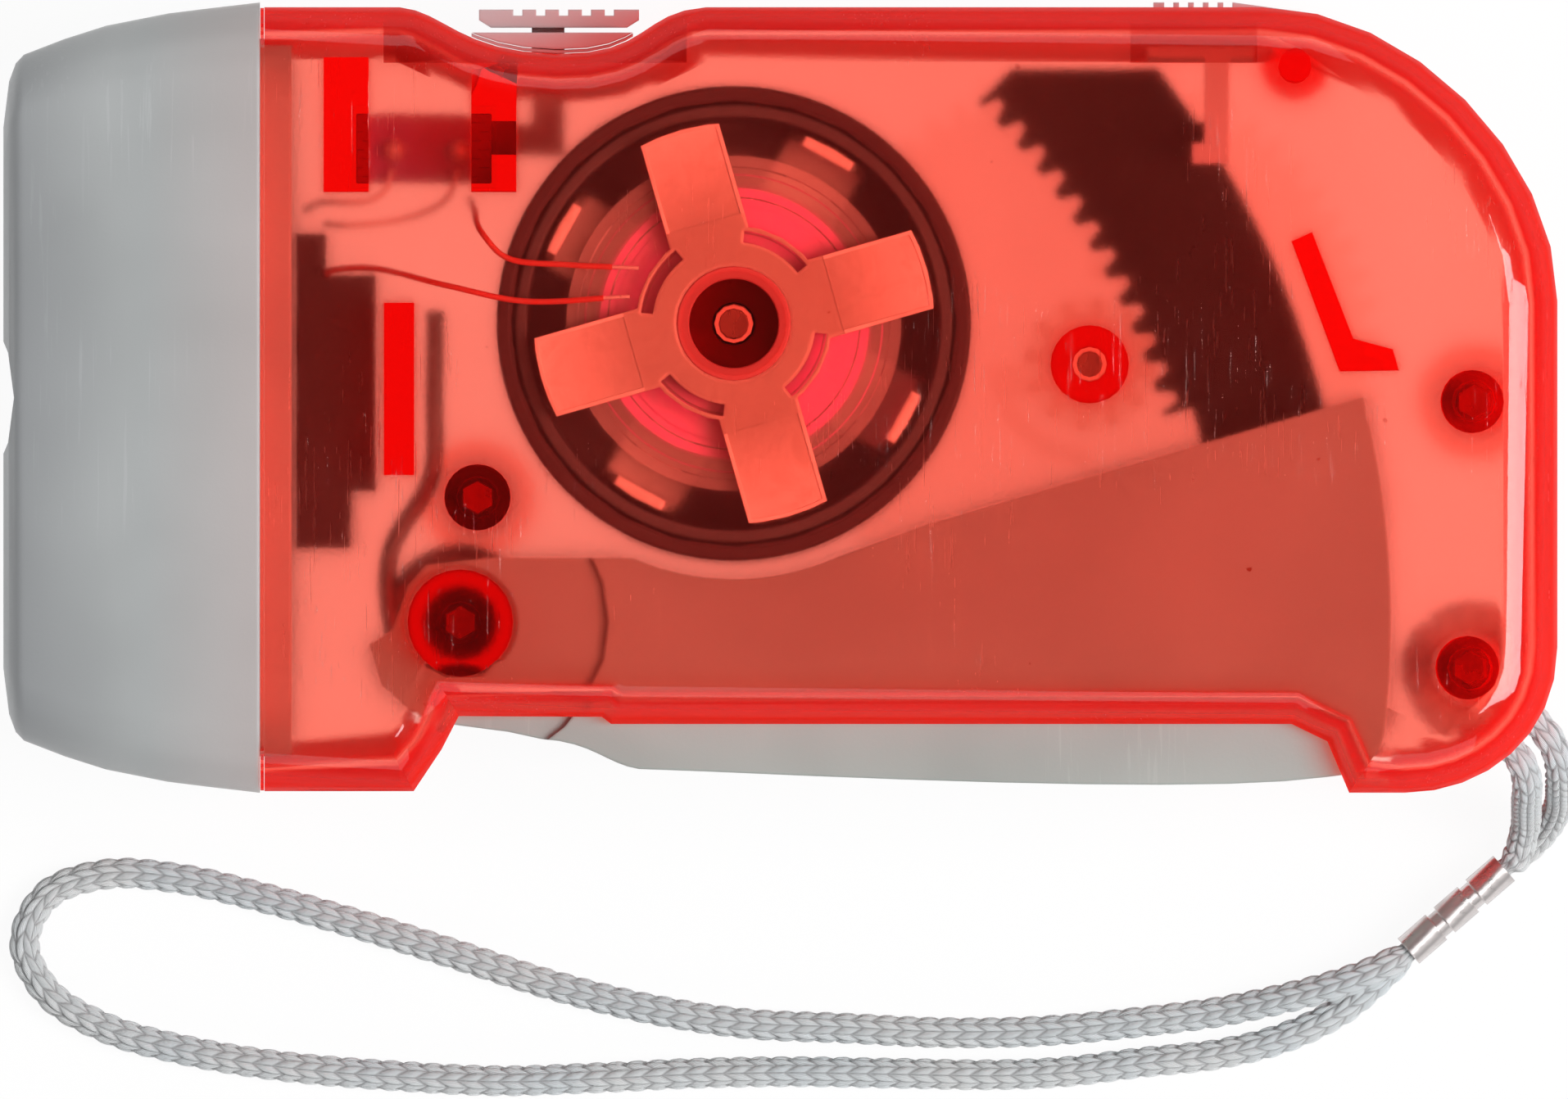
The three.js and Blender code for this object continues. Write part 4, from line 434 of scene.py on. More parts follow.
def chamfered(inner, outer, low, high, edge):
    """A ring's profile, with its four edges broken."""
    return [
        (inner, low + edge), (inner + edge, low), (outer - edge, low), (outer, low + edge),
        (outer, high - edge), (outer - edge, high), (inner + edge, high), (inner, high - edge),
    ]


def slab(name, outer, inner, axis, low, high):
    """A flat ring between two outlines with as many points, or a plate where there is no inner one."""
    place = {"x": lambda p, s: (s, *p), "z": lambda p, s: (*p, s)}[axis]
    loops = [outer] + ([inner] if inner else [])
    points = [Vector(place(p, s)) * MM for loop in loops for s in (low, high) for p in loop]
    n = len(outer)
    faces = []
    for k in range(n):
        m = (k + 1) % n
        faces.append((k, m, n + m, n + k))
        if inner:
            faces += [(2 * n + m, 2 * n + k, 3 * n + k, 3 * n + m), (m, k, 2 * n + k, 2 * n + m)]
            faces.append((n + k, n + m, 3 * n + m, 3 * n + k))
    if not inner:
        faces += [tuple(reversed(range(n))), tuple(range(n, 2 * n))]
    return make_piece(name, points, faces, smooth=False)


def tape_lap(angle, level):
    """How far the tape's surface lies under the coil's radius: it winds up and overlaps itself."""
    turns = (angle / (2 * math.pi) + (level - BOBBIN_LEVELS[0]) / TAPE_PITCH) % 1
    return -TAPE_THICKNESS * turns - 0.04 * math.sin(3 * angle + level)


def add_generator_rings():
    """The flywheel's rim, the magnet, the bobbin, its taped coil, and the bearings at the axle."""
    low, high = RIM_LEVELS
    inner = FLYWHEEL_RADIUS - RIM_WALL
    inside, outside, below, above = BAND_COVER
    radii = (inner - inside, FLYWHEEL_RADIUS + outside)
    profile = chamfered(*radii, low - below, high + above, 0.2)
    rim = turned("flywheel_band", "rotor", profile)

    outer = inner - MAGNET_GAP
    profile = chamfered(outer - MAGNET_WALL, outer, *MAGNET_LEVELS, 0.1)
    magnet = turned("round_magnet", "rotor", profile)
    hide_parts("ring_magnet")

    low, high = BOBBIN_LEVELS
    edge, flange = BOBBIN_RADIUS, BOBBIN_FLANGE
    profile = [
        (BOBBIN_BORE, low), (edge, low), (edge, low + flange), (BOBBIN_CORE, low + flange),
        (BOBBIN_CORE, high - flange), (edge, high - flange), (edge, high),
    ]
    for radius in BOBBIN_GROOVES:
        bed = high - GROOVE_DEPTH
        end = radius - GROOVE_WIDTH
        profile += [(radius, high), (radius - 0.1, bed), (end + 0.1, bed), (end, high)]
    profile.append((BOBBIN_BORE, high))
    bobbin = turned("round_bobbin", "housing", profile)
    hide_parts("coil_bobbin")

    inner, base = BOBBIN_CORE + COIL_GAP, low + flange + COIL_GAP
    levels = [base + COIL_HEIGHT * k / (COIL_RINGS - 1) for k in range(COIL_RINGS)]
    profile = [(inner, base), *[(COIL_RADIUS, level) for level in levels], (inner, levels[-1])]
    coil = turned("taped_coil", "housing", profile, swell=tape_lap)
    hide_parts("coil_winding")

    profile = chamfered(*WASHER_RADII, *WASHER_LEVELS, 0.06)
    washer = turned("thrust_washer", "housing", profile)
    profile = chamfered(*BUSH_RADII, *BUSH_LEVELS, 0.08)
    bush = turned("hub_bush", "housing", profile)
    return {
        "dark": rim, "magnet": magnet, "clear_plastic": bobbin,
        "tape": coil, "nylon": washer, "bush": bush,
    }


CLAW_TOP = levels("stator_front_plate")[1]
CLAW_TURN = math.radians(16)
CLAW_ROOT = 6.9
CLAW_REACH = 13.26
CLAW_HALF_WIDTH = 2.68
# A painted highlight: the width of the bright rim along each front claw's edge, and its levels just
# over the claw
HIGHLIGHT_WIDTH = 0.24
HIGHLIGHT_LEVELS = (CLAW_TOP + 0.01, CLAW_TOP + 0.09)


def add_claw_highlight_rims():
    """A thin bright rim round the upper face of each front claw, a painted highlight along its edges.
    """
    rims = []

    def outline(inset):
        half, reach = CLAW_HALF_WIDTH - inset, CLAW_REACH - inset
        tip = math.asin(half / reach)
        angles = [tip * (k / 4 - 1) for k in range(9)]
        arc = [(reach * math.cos(angle), reach * math.sin(angle)) for angle in angles]
        return [(CLAW_ROOT, -half), *arc, (CLAW_ROOT, half)]

    for i in range(4):
        turn = Matrix.Rotation(CLAW_TURN + i * math.pi / 2, 2)
        edges = [
            [tuple(turn @ Vector(p) + FLYWHEEL.xy / MM) for p in outline(inset)]
            for inset in (0, HIGHLIGHT_WIDTH)
        ]
        rim = slab(f"claw_highlight_rim_{i + 1}", *edges, "z", *HIGHLIGHT_LEVELS)
        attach(rim, "housing")
        rims.append(rim)
    return rims


FRONT_SIDES = (-26.09, 25.88)
HEAD_END = -34.5
LIP = (HEAD_END + 0.03, HEAD_END + 0.27)
# Inset and corner radius of the lip's outer and inner outline
LIP_OUTER = (0.04, 3.56)
LIP_INNER = (1.75, 1.85)
SEAT_LEVELS = (11.6, 24.4)
SEAT_THICKNESS = 0.23
SEAT_GAP = 0.04


def rounded_frame(inset, radius):
    """The outline of the shells' open front end, seen along the torch."""
    low, high = FRONT_SIDES[0] + inset, FRONT_SIDES[1] - inset
    base, top = inset, BODY_DEPTH - inset
    corners = [(high, top, 0), (low, top, 90), (low, base, 180), (high, base, 270)]
    points = []
    for y, z, start in corners:
        cy = y - radius if y > 0 else y + radius
        cz = z - radius if z > BODY_DEPTH / 2 else z + radius
        for k in range(7):
            angle = math.radians(start + 15 * k)
            points.append((cy + radius * math.cos(angle), cz + radius * math.sin(angle)))
    return points


def add_closing_pieces():
    """A lip that closes the seam between shells and head, and a seat under the switch plate."""
    lip = slab("front_lip", rounded_frame(*LIP_OUTER), rounded_frame(*LIP_INNER), "x", *LIP)
    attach(lip, "housing")
    plate = nodes["switch_plate"]
    corners = {(round(v.co.x / MM, 2), round(v.co.y / MM, 2)) for v in plate.data.vertices}
    under = {}
    for x, y in corners:
        under[x] = min(y, under.get(x, y))
    curve = sorted(under.items())
    outline = [(x, y - SEAT_GAP - SEAT_THICKNESS) for x, y in curve]
    outline += [(x, y - SEAT_GAP) for x, y in reversed(curve)]
    seat = slab("switch_seat", outline, None, "z", *SEAT_LEVELS)
    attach(seat, "housing")
    return lip, seat


rings = add_generator_rings()
front_lip, switch_seat = add_closing_pieces()
claw_highlight_rims = add_claw_highlight_rims()
spring_wire = add_spring()
wires = {node: add_wire(node, route) for node, route in WIRES.items()}


# Surfaces


class Amount:
    """A number from a material's nodes, which can stand in plain sums."""

    def __init__(self, finish, socket):
        self.finish, self.socket = finish, socket

    def sum(self, operation, *terms, clamp=False):
        settings = {"operation": operation, "use_clamp": clamp}
        return self.finish.node("ShaderNodeMath", settings, terms)

    def __add__(self, other):
        return self.sum("ADD", self, other)

    def __radd__(self, other):
        return self.sum("ADD", other, self)

    def __sub__(self, other):
        return self.sum("SUBTRACT", self, other)

    def __rsub__(self, other):
        return self.sum("SUBTRACT", other, self)

    def __mul__(self, other):
        return self.sum("MULTIPLY", self, other)

    def __rmul__(self, other):
        return self.sum("MULTIPLY", other, self)

    def __truediv__(self, other):
        return self.sum("DIVIDE", self, other)

    def of(self, operation):
        return self.sum(operation, self)

    def above(self, level):
        return self.sum("GREATER_THAN", self, level)

    def held(self):
        return self.sum("ADD", self, 0.0, clamp=True)

    def largest(self, other):
        return self.sum("MAXIMUM", self, other)


class Finish:
    """A material with one Principled shader, and short ways to add nodes to it."""

    def __init__(self, name):
        self.material = bpy.data.materials.new(name)
        self.material.use_nodes = True
        self.tree = self.material.node_tree
        self.tree.nodes.clear()
        self.surface = self.tree.nodes.new("ShaderNodeOutputMaterial")
        self.shader = self.tree.nodes.new("ShaderNodeBsdfPrincipled")
        self.tree.links.new(self.shader.outputs[0], self.surface.inputs["Surface"])

    def feed(self, socket, value):
        if isinstance(value, Amount):
            self.tree.links.new(value.socket, socket)
        elif isinstance(value, bpy.types.NodeSocket):
            self.tree.links.new(value, socket)
        elif hasattr(socket.default_value, "__len__") and len(socket.default_value) == 4:
            socket.default_value = (*value[:3], 1) if len(value) == 3 else value
        else:
            socket.default_value = value

    def node(self, kind, settings=None, values=(), out=0):
        """A node with its settings, then the values or links of its sockets. Gives one output."""
        made = self.tree.nodes.new(kind)
        for key, value in (settings or {}).items():
            setattr(made, key, value)
        pairs = values.items() if isinstance(values, dict) else enumerate(values)
        for key, value in pairs:
            self.feed(made.inputs[key], value)
        return Amount(self, made.outputs[out])

    def set(self, **values):
        for key, value in values.items():
            self.feed(self.shader.inputs[key.replace("_", " ")], value)

    def place(self, stretch=(1, 1, 1), turn=0.0):
        where = self.node("ShaderNodeTexCoord", out="Object")
        return self.node(
            "ShaderNodeMapping",
            values={"Vector": where, "Scale": stretch, "Rotation": (0, 0, turn)},
        )

    def vector(self, operation, first, second, out="Value"):
        return self.node("ShaderNodeVectorMath", {"operation": operation}, [first, second], out)

    def along(self, axis, where=None):
        """One coordinate of a place, by default of the point on the piece, in metres."""
        where = where or self.node("ShaderNodeTexCoord", out="Object")
        return self.node("ShaderNodeSeparateXYZ", values=[where], out=axis)

    def grain(self, size, detail=2.0, rough=0.5, stretch=(1, 1, 1), turn=0.0, twist=0.0):
        """Noise, 0 to 1, whose features are about size across."""
        values = {"Vector": self.place(stretch, turn), "Scale": 1 / size, "Detail": detail}
        values |= {"Roughness": rough, "Distortion": twist}
        return self.node("ShaderNodeTexNoise", values=values)

    def ramp(self, amount, low, high, start=0.0, end=1.0):
        """The amount brought from low..high to start..end, and held there."""
        values = {"Value": amount, "From Min": low, "From Max": high, "To Min": start, "To Max": end}
        return self.node("ShaderNodeMapRange", {"clamp": True}, values)

    def mix(self, amount, first, second, how="MIX"):
        settings = {"data_type": "RGBA", "blend_type": how}
        return self.node("ShaderNodeMix", settings, {0: amount, 6: first, 7: second}, out=2)

    def relief(self, height, depth, strength=1.0, normal=None):
        values = {"Height": height, "Distance": depth, "Strength": strength}
        if normal is not None:
            values["Normal"] = normal
        return self.node("ShaderNodeBump", values=values)

    def soft_edges(self, radius):
        return self.node("ShaderNodeBevel", {"samples": 4}, {"Radius": radius})

    def edge_mask(self, rounded):
        """1 along the edges that a hand rubs, and 0 on flat faces."""
        facing = self.node("ShaderNodeNewGeometry", out="Normal")
        return self.ramp(self.vector("DOT_PRODUCT", rounded, facing), 0.995, 0.86)

    def scratches(self, size, turn, share=0.62):
        """Thin streaks that only show in patches."""
        streak = self.grain(size, 3, 0.6, (1, 0.035, 1), turn, 0.4)
        patch = self.grain(14 * MM, 1, 0.5)
        return self.ramp(streak, share, share + 0.04) * self.ramp(patch, 0.5, 0.62)


def head_shade(f, base):
    """Painted shade that darkens the head towards the lens, and painted red light that warms it where
    light from the shells reaches it.
    """
    along = f.along("X")
    # Painted shade: the head darker and greyer towards the lens
    painted_shade = f.ramp(along + (f.grain(20 * MM, 1) - 0.5) * (6 * MM), -51 * MM, -44 * MM, 1, 0)
    base = f.mix(painted_shade, base, (0.79, 0.79, 0.81), "MULTIPLY")
    # Painted red light: the head warmer beside the shells
    painted_red_light = f.ramp(along, -42 * MM, -35.5 * MM)
    return f.mix(painted_red_light, base, (1.1, 0.965, 0.945), "MULTIPLY")


TONE = 0.06


def moulded(name, colour, rough, grain=0.25 * MM, depth=0.012 * MM, edge=0.3, shine=0.5, shade=None):
    """Moulded plastic: slow changes of tone, a fine eroded texture and rubbed edges."""
    f = Finish(name)
    slow = f.grain(16 * MM, 2, 0.5)
    fine = f.grain(grain, 3, 0.6)
    lighter = [min(1, c * (1 + TONE) + 0.01) for c in colour]
    darker = [c * (1 - TONE) for c in colour]
    base = f.mix(f.ramp(slow, 0.35, 0.65), darker, lighter)
    rubbed = [min(1, c * 1.12 + 0.05) for c in colour]
    rounded = f.soft_edges(edge * MM)
    edges = f.edge_mask(rounded)
    base = f.mix(edges * 0.5, base, rubbed)
    scuffs = f.scratches(0.35 * MM, 0.7) + f.scratches(0.3 * MM, -0.4)
    base = f.mix(scuffs.held() * 0.35, base, rubbed)
    f.set(Base_Color=shade(f, base) if shade else base)
    f.set(Roughness=(rough + (fine - 0.5) * 0.12 - edges * 0.1 + scuffs * 0.1).held())
    f.set(Normal=f.relief(fine, depth, 0.6, rounded))
    f.set(IOR=1.5, Specular_IOR_Level=shine)
    return f.material


CLEAR_SHADOW = (0.97, 0.97, 0.97)


def clear(name, tint, rough, ior=1.49, haze=0.06, milk=0.0):
    """Clear plastic that lets the lamps reach what is behind it."""
    f = Finish(name)
    smear = f.grain(5 * MM, 3, 0.55)
    f.set(Base_Color=f.mix(f.ramp(smear, 0.4, 0.7) * 0.5, tint, [c * 0.93 for c in tint]))
    f.set(Roughness=(rough + f.ramp(smear, 0.45, 0.75) * haze).held())
    f.set(IOR=ior, Transmission_Weight=1.0)
    f.set(Normal=f.relief(f.grain(0.8 * MM, 2), 0.004 * MM, 0.4))
    white = f.node("ShaderNodeBsdfDiffuse", values={"Color": (0.92, 0.9, 0.88)})
    body = f.node("ShaderNodeMixShader", values=[milk, f.shader.outputs[0], white])
    let_lamps_through(f, CLEAR_SHADOW, body)
    return f.material


def let_lamps_through(f, colour, body):
    """The lamps reach what is behind, in this colour, while all other rays meet the body."""
    lamp_rays = f.node("ShaderNodeLightPath", out="Is Shadow Ray")
    open_side = f.node("ShaderNodeBsdfTransparent", values=[colour])
    joined = f.node("ShaderNodeMixShader", values=[lamp_rays, body, open_side])
    f.tree.links.new(joined.socket, f.surface.inputs["Surface"])


# A place inside the shells, and how far from the midplane their flat inner faces are
SHELL_MIDDLE = (4 * MM, 0, MIDPLANE)
INNER_FACES = (MIDPLANE - 2.6 * MM, MIDPLANE - 1.0 * MM)

# Where the shells are solid round the two sliders: left, right and low side, and the depth of colour
POCKETS = [
    (-26.3 * MM, -6.2 * MM, 22.2 * MM, (0.60, 0.16, 0.14)),
    (23.2 * MM, 31.6 * MM, 22.2 * MM, (0.78, 0.4, 0.38)),
]


# The plastic is a little deeper in colour round the place where it entered the mould
GATE = (13 * MM, 9 * MM, MIDPLANE)
GATE_TINT = (1.0, 0.89, 0.88)


def red_shell(name):
    """Clear red plastic: glossy outside, finely frosted inside, darker where it is thick."""
    f = Finish(name)
    where = f.node("ShaderNodeTexCoord", out="Object")
    facing = f.node("ShaderNodeNewGeometry", out="True Normal")
    outward = f.vector("DOT_PRODUCT", f.vector("SUBTRACT", where, SHELL_MIDDLE, out=0), facing)
    from_half = (f.along("Z", where) - MIDPLANE).of("ABSOLUTE")
    flat = from_half.above(INNER_FACES[0]) * (1 - from_half.above(INNER_FACES[1]))
    inner = flat.largest(1 - outward.above(0.0))
    frost = f.grain(0.22 * MM, 2, 0.6)
    waves = f.grain(9 * MM, 2, 0.5)
    specks = f.ramp(f.grain(0.9 * MM, 1, 0.4), 0.79, 0.83)
    specks = specks * f.ramp(f.grain(7 * MM, 1), 0.5, 0.6)
    scuffs = (f.scratches(0.22 * MM, 0.95, 0.66) + f.scratches(0.2 * MM, -0.5, 0.67)).held()
    tint = f.mix(f.ramp(waves, 0.35, 0.65), (1.0, 0.985, 0.98), (1.0, 0.96, 0.95))
    tint = f.mix(specks, tint, (0.5, 0.05, 0.03))
    near_gate = f.ramp(f.vector("DISTANCE", where, GATE), 14 * MM, 34 * MM, 1, 0)
    tint = f.mix(near_gate, tint, GATE_TINT, "MULTIPLY")
    across, up = f.along("X", where), f.along("Y", where)
    for left, right, low, colour in POCKETS:
        pocket = across.above(left) * (1 - across.above(right)) * up.above(low)
        tint = f.mix(pocket, tint, colour)
    f.set(Base_Color=tint)
    f.set(Roughness=(0.03 + inner * (0.16 + 0.08 * frost) + scuffs * 0.12 + 0.02 * waves).held())
    f.set(IOR=1.42, Transmission_Weight=1.0)
    height = inner * frost + scuffs * -0.6 + waves * 0.4
    f.set(Normal=f.relief(height, 0.012 * MM, 0.5))
    cloud = f.node("ShaderNodeBsdfDiffuse", values={"Color": (0.95, 0.022, 0.01)})
    glow = f.node("ShaderNodeBsdfTranslucent", values={"Color": (0.98, 0.03, 0.012)})
    rim = f.node("ShaderNodeMixShader", values=[0.5, cloud, glow])
    steep = f.ramp(f.node("ShaderNodeLayerWeight", values={"Blend": 0.5}, out="Facing"), 0.12, 0.6)
    level_face = f.ramp(f.along("Z", facing).of("ABSOLUTE"), 0.93, 0.995)
    share = 0.025 + steep * (0.84 - level_face * 0.62)
    body = f.node("ShaderNodeMixShader", values=[share, f.shader.outputs[0], rim])
    let_lamps_through(f, (0.99, 0.87, 0.84), body)
    values = {"Color": (0.985, 0.28, 0.13), "Density": 590.0}
    depth = f.node("ShaderNodeVolumeAbsorption", values=values)
    f.tree.links.new(depth.socket, f.surface.inputs["Volume"])
    return f.material


def metal(name, colour, rough, brushed=(1, 1, 1), dull=0.1, edge=0.12, metallic=1.0):
    """Bare or plated metal with brush marks, patches of dulling and bright edges."""
    f = Finish(name)
    marks = f.grain(0.3 * MM, 3, 0.6, brushed)
    patch = f.grain(4 * MM, 3, 0.6)
    spotted = f.ramp(patch, 0.42, 0.68)
    rounded = f.soft_edges(edge * MM)
    edges = f.edge_mask(rounded)
    base = f.mix(spotted * 0.8, colour, [c * 0.66 for c in colour])
    base = f.mix(edges * 0.6, base, [min(1, c * 1.15 + 0.03) for c in colour])
    f.set(Base_Color=base, Metallic=metallic)
    f.set(Roughness=(rough + (marks - 0.5) * dull + spotted * dull - edges * 0.08).held())
    f.set(Normal=f.relief(marks, 0.006 * MM, 0.5, rounded))
    return f.material


def claw_steel():
    """The stamped claws with brush marks and dull patches, a painted sheen that makes them paler
    towards their tips, painted shade near the hub, and a painted highlight along their edges.
    """
    f = Finish("stamped_steel")
    where = f.node("ShaderNodeTexCoord", out="Object")
    flat = f.vector("MULTIPLY", where, (1, 1, 0), out=0)
    reach = f.vector("DISTANCE", flat, tuple(FLYWHEEL))
    marks = f.grain(0.3 * MM, 3, 0.6, (1, 0.15, 1), CLAW_TURN)
    dull = f.ramp(f.grain(3 * MM, 3, 0.6, twist=0.6), 0.42, 0.68)
    rounded = f.soft_edges(0.45 * MM)
    edges = f.edge_mask(rounded)
    # Painted sheen towards the tips and painted shade near the hub
    pale = f.ramp(reach, 6.6 * MM, 13 * MM)
    base = f.mix(pale, (0.5, 0.44, 0.38), (0.93, 0.9, 0.84))
    base = f.mix(dull * 0.45, base, (0.42, 0.36, 0.3))
    # Painted highlight along the claws' edges
    base = f.mix(edges, base, (1, 0.98, 0.92))
    f.set(Base_Color=base, Metallic=0.35)
    f.set(Roughness=(0.38 + (marks - 0.5) * 0.2 + dull * 0.15 - edges * 0.08).held())
    f.set(Normal=f.relief(marks, 0.01 * MM, 0.6, rounded))
    return f.material


def coil_tape():
    """Pink tape wound round the coil, its overlapping edges showing as low steps."""
    f = Finish("coil_tape")
    crease = f.grain(1.6 * MM, 3, 0.6, (1, 1, 0.25), twist=0.8)
    wrap = (f.along("Z") / (2.1 * MM) + crease * 0.25).of("FRACT")
    edge = f.ramp(wrap, 0.9, 0.98) - f.ramp(wrap, 0.98, 1.0)
    base = f.mix(f.ramp(crease, 0.35, 0.7), (0.92, 0.05, 0.5), (0.8, 0.06, 0.52))
    f.set(Base_Color=f.mix(edge, base, (0.5, 0.03, 0.14)))
    f.set(Roughness=(0.3 + 0.25 * crease).held())
    f.set(Normal=f.relief(crease * 0.6 + wrap * 0.4, 0.12 * MM, 0.7))
    return f.material


def circuit_board():
    """Blue lacquer over copper tracks, with a bare fibre edge."""
    f = Finish("circuit_board")
    values = {"Vector": f.place(), "Scale": 900.0}
    weave = f.node("ShaderNodeTexWave", {"bands_direction": "DIAGONAL"}, values)
    values = {"Vector": f.place((420, 420, 420)), "Scale": 1.0, "Mortar Size": 0.12}
    tracks = f.node("ShaderNodeTexBrick", values=values, out="Fac")
    base = f.mix(tracks, (0.20, 0.03, 0.20), (0.30, 0.05, 0.22))
    base = f.mix(weave * 0.12, base, (0.36, 0.1, 0.3))
    f.set(Base_Color=base, Roughness=(0.3 + 0.15 * weave).held())
    height = tracks * 0.8 + weave * 0.2
    f.set(Normal=f.relief(height, 0.03 * MM, 0.6, f.soft_edges(0.08 * MM)))
    return f.material


def wire_cover(name, colour):
    """Soft insulation with a dusty bloom."""
    f = Finish(name)
    bloom = f.grain(1.2 * MM, 3, 0.6)
    dusty = [min(1, c * 0.7 + 0.1) for c in colour]
    f.set(Base_Color=f.mix(f.ramp(bloom, 0.4, 0.75) * 0.5, colour, dusty))
    f.set(Roughness=(0.35 + 0.3 * bloom).held(), Normal=f.relief(f.grain(0.2 * MM), 0.01 * MM, 0.5))
    return f.material


def braid():
    """Grey polyester stitches: fine yarns along each stitch, with painted shade in the gaps between
    them.
    """
    f = Finish("braided_cord")
    lay = f.node("ShaderNodeUVMap", {"uv_map": "lay"})
    column = f.along("Y", lay) * WALES
    wale = column.of("FLOOR")
    beside = column - wale - 0.5
    odd = wale.sum("MODULO", wale, 2.0)
    step = f.along("X", lay) / (STITCH / MM) + (odd * 2 - 1) * STITCH_LEAN * beside
    gap = f.ramp((step.of("FRACT") - 0.5).of("ABSOLUTE"), 0.34, 0.5)
    side = f.ramp(beside.of("ABSOLUTE"), 0.36, 0.5)
    hollow = gap.largest(side)
    yarns = ((step * 0.9 + beside * 4.5) * 12.0).of("SINE")
    fuzz = f.grain(0.12 * MM, 3, 0.7)
    tone = f.grain(9 * MM, 2, 0.5)
    base = f.mix(f.ramp(tone, 0.35, 0.65), (0.62, 0.665, 0.69), (0.69, 0.7, 0.7))
    # Painted shade in the gaps between the stitches
    base = f.mix(hollow * 0.75, base, (0.22, 0.21, 0.22))
    base = f.mix(f.ramp(yarns, 0.4, 1.0) * 0.25, base, (0.95, 0.96, 0.97))
    f.set(Base_Color=base, Roughness=(0.62 + 0.25 * fuzz).held())
    f.set(Normal=f.relief(yarns * 0.5 + fuzz * 0.8 - hollow, 0.05 * MM, 0.8))
    f.set(Sheen_Weight=0.35)
    return f.material


finishes = {
    "red_shell": red_shell("red_shell"),
    "head": moulded("grey_head", (0.375, 0.388, 0.39), 0.42, edge=0.35, shade=head_shade),
    "lever": moulded("grey_lever", (0.31, 0.335, 0.315), 0.4, edge=0.3),
    "button": moulded("grey_button", (0.52, 0.43, 0.44), 0.38, edge=0.2),
    "dark": moulded("dark_plastic", (0.04, 0.016, 0.02), 0.45, edge=0.2, shine=0.3),
    "black": moulded("black_plastic", (0.008, 0.004, 0.005), 0.6, edge=0.1, shine=0.15),
    "natural": clear("natural_plastic", (0.98, 0.86, 0.82), 0.12, 1.06, haze=0.1, milk=0.03),
    "nylon": moulded("white_nylon", (0.82, 0.8, 0.76), 0.5, edge=0.05),
    "bush": moulded("bush_resin", (0.5, 0.17, 0.2), 0.4, edge=0.1),
    "clear_plastic": clear("clear_plastic", (0.96, 0.95, 0.95), 0.1, milk=0.12),
    "lens": clear("clear_lens", (0.985, 0.99, 0.99), 0.015, haze=0.02),
    "led": clear("led_epoxy", (0.97, 0.98, 0.99), 0.02, 1.52),
    "chrome": metal("chrome_reflector", (0.86, 0.87, 0.88), 0.05, dull=0.04),
    "steel": metal("plated_steel", (0.66, 0.65, 0.63), 0.24, (1, 0.2, 1)),
    "claw": claw_steel(),
    # Painted highlight: the bright metal of the rims round the front claws
    "painted_highlight": metal("bright_painted_highlight", (1.0, 0.98, 0.9), 0.3, metallic=0.2, edge=0.05),
    "spring": metal("spring_steel", (0.30, 0.29, 0.29), 0.3, dull=0.15),
    "sleeve": metal("crimped_sleeve", (0.72, 0.67, 0.66), 0.27, (0.3, 1, 1), 0.15, metallic=0.95),
    "brass": metal("brass_leaf", (0.80, 0.58, 0.26), 0.25),
    "magnet": moulded("magnet", (0.05, 0.05, 0.055), 0.6, 0.4 * MM, 0.03 * MM),
    "solder": metal("solder", (0.92, 0.92, 0.92), 0.3, dull=0.2, metallic=0.4),
    "tape": coil_tape(),
    "board": circuit_board(),
    "red_wire": wire_cover("red_wire", (0.55, 0.05, 0.04)),
    "pale_wire": wire_cover("pale_wire", (0.78, 0.74, 0.7)),
    "cord": braid(),
}


# What the model's own pieces are finished in


def smoothing_group():
    """Joins the faces of a node, and shades its gentle edges smooth."""
    group = bpy.data.node_groups.new("smooth_gentle_edges", "GeometryNodeTree")
    group.interface.new_socket("Geometry", in_out="INPUT", socket_type="NodeSocketGeometry")
    group.interface.new_socket("Geometry", in_out="OUTPUT", socket_type="NodeSocketGeometry")
    add, link = group.nodes.new, group.links.new
    start, end = add("NodeGroupInput"), add("NodeGroupOutput")
    weld = add("GeometryNodeMergeByDistance")
    weld.inputs["Distance"].default_value = 0.002 * MM
    faces = add("GeometryNodeSetShadeSmooth")
    edges = add("GeometryNodeSetShadeSmooth")
    edges.domain = "EDGE"
    angle = add("GeometryNodeInputMeshEdgeAngle")
    sharp = add("FunctionNodeCompare")
    sharp.operation = "GREATER_THAN"
    sharp.inputs["B"].default_value = math.radians(34)
    link(start.outputs[0], weld.inputs["Geometry"])
    link(weld.outputs[0], faces.inputs["Geometry"])
    link(faces.outputs[0], edges.inputs["Geometry"])
    link(angle.outputs["Unsigned Angle"], sharp.inputs["A"])
    link(sharp.outputs[0], edges.inputs["Selection"])
    edges.inputs["Shade Smooth"].default_value = False
    link(edges.outputs[0], end.inputs[0])
    return group


gentle_edges = smoothing_group()

node_finishes = {
    "red_shell": ["lower_shell", "upper_shell"],
    "head": ["head_cap"],
    "lever": ["lever"],
    "button": ["switch_slider", "lock_slider", "switch_plate"],
    "dark": ["led_holder", "flywheel"],
    "black": ["sector_gear"],
    "natural": ["drive_pinion", "drive_gear"],
    "lens": ["lens"],
    "led": ["led_1", "led_2", "led_3"],
    "chrome": ["reflector"],
    "steel": [
        "pivot_screw", "front_screw", "rear_upper_screw", "rear_lower_screw",
        "sector_screw_1", "sector_screw_2", "flywheel_axle", "gear_axle",
    ],
    "claw": ["stator_front_plate", "stator_rear_plate"],
    "sleeve": ["ferrule"],
    "brass": ["switch_wiper"],
    "solder": ["terminal_1", "terminal_2"],
    "board": ["switch_board"],
}


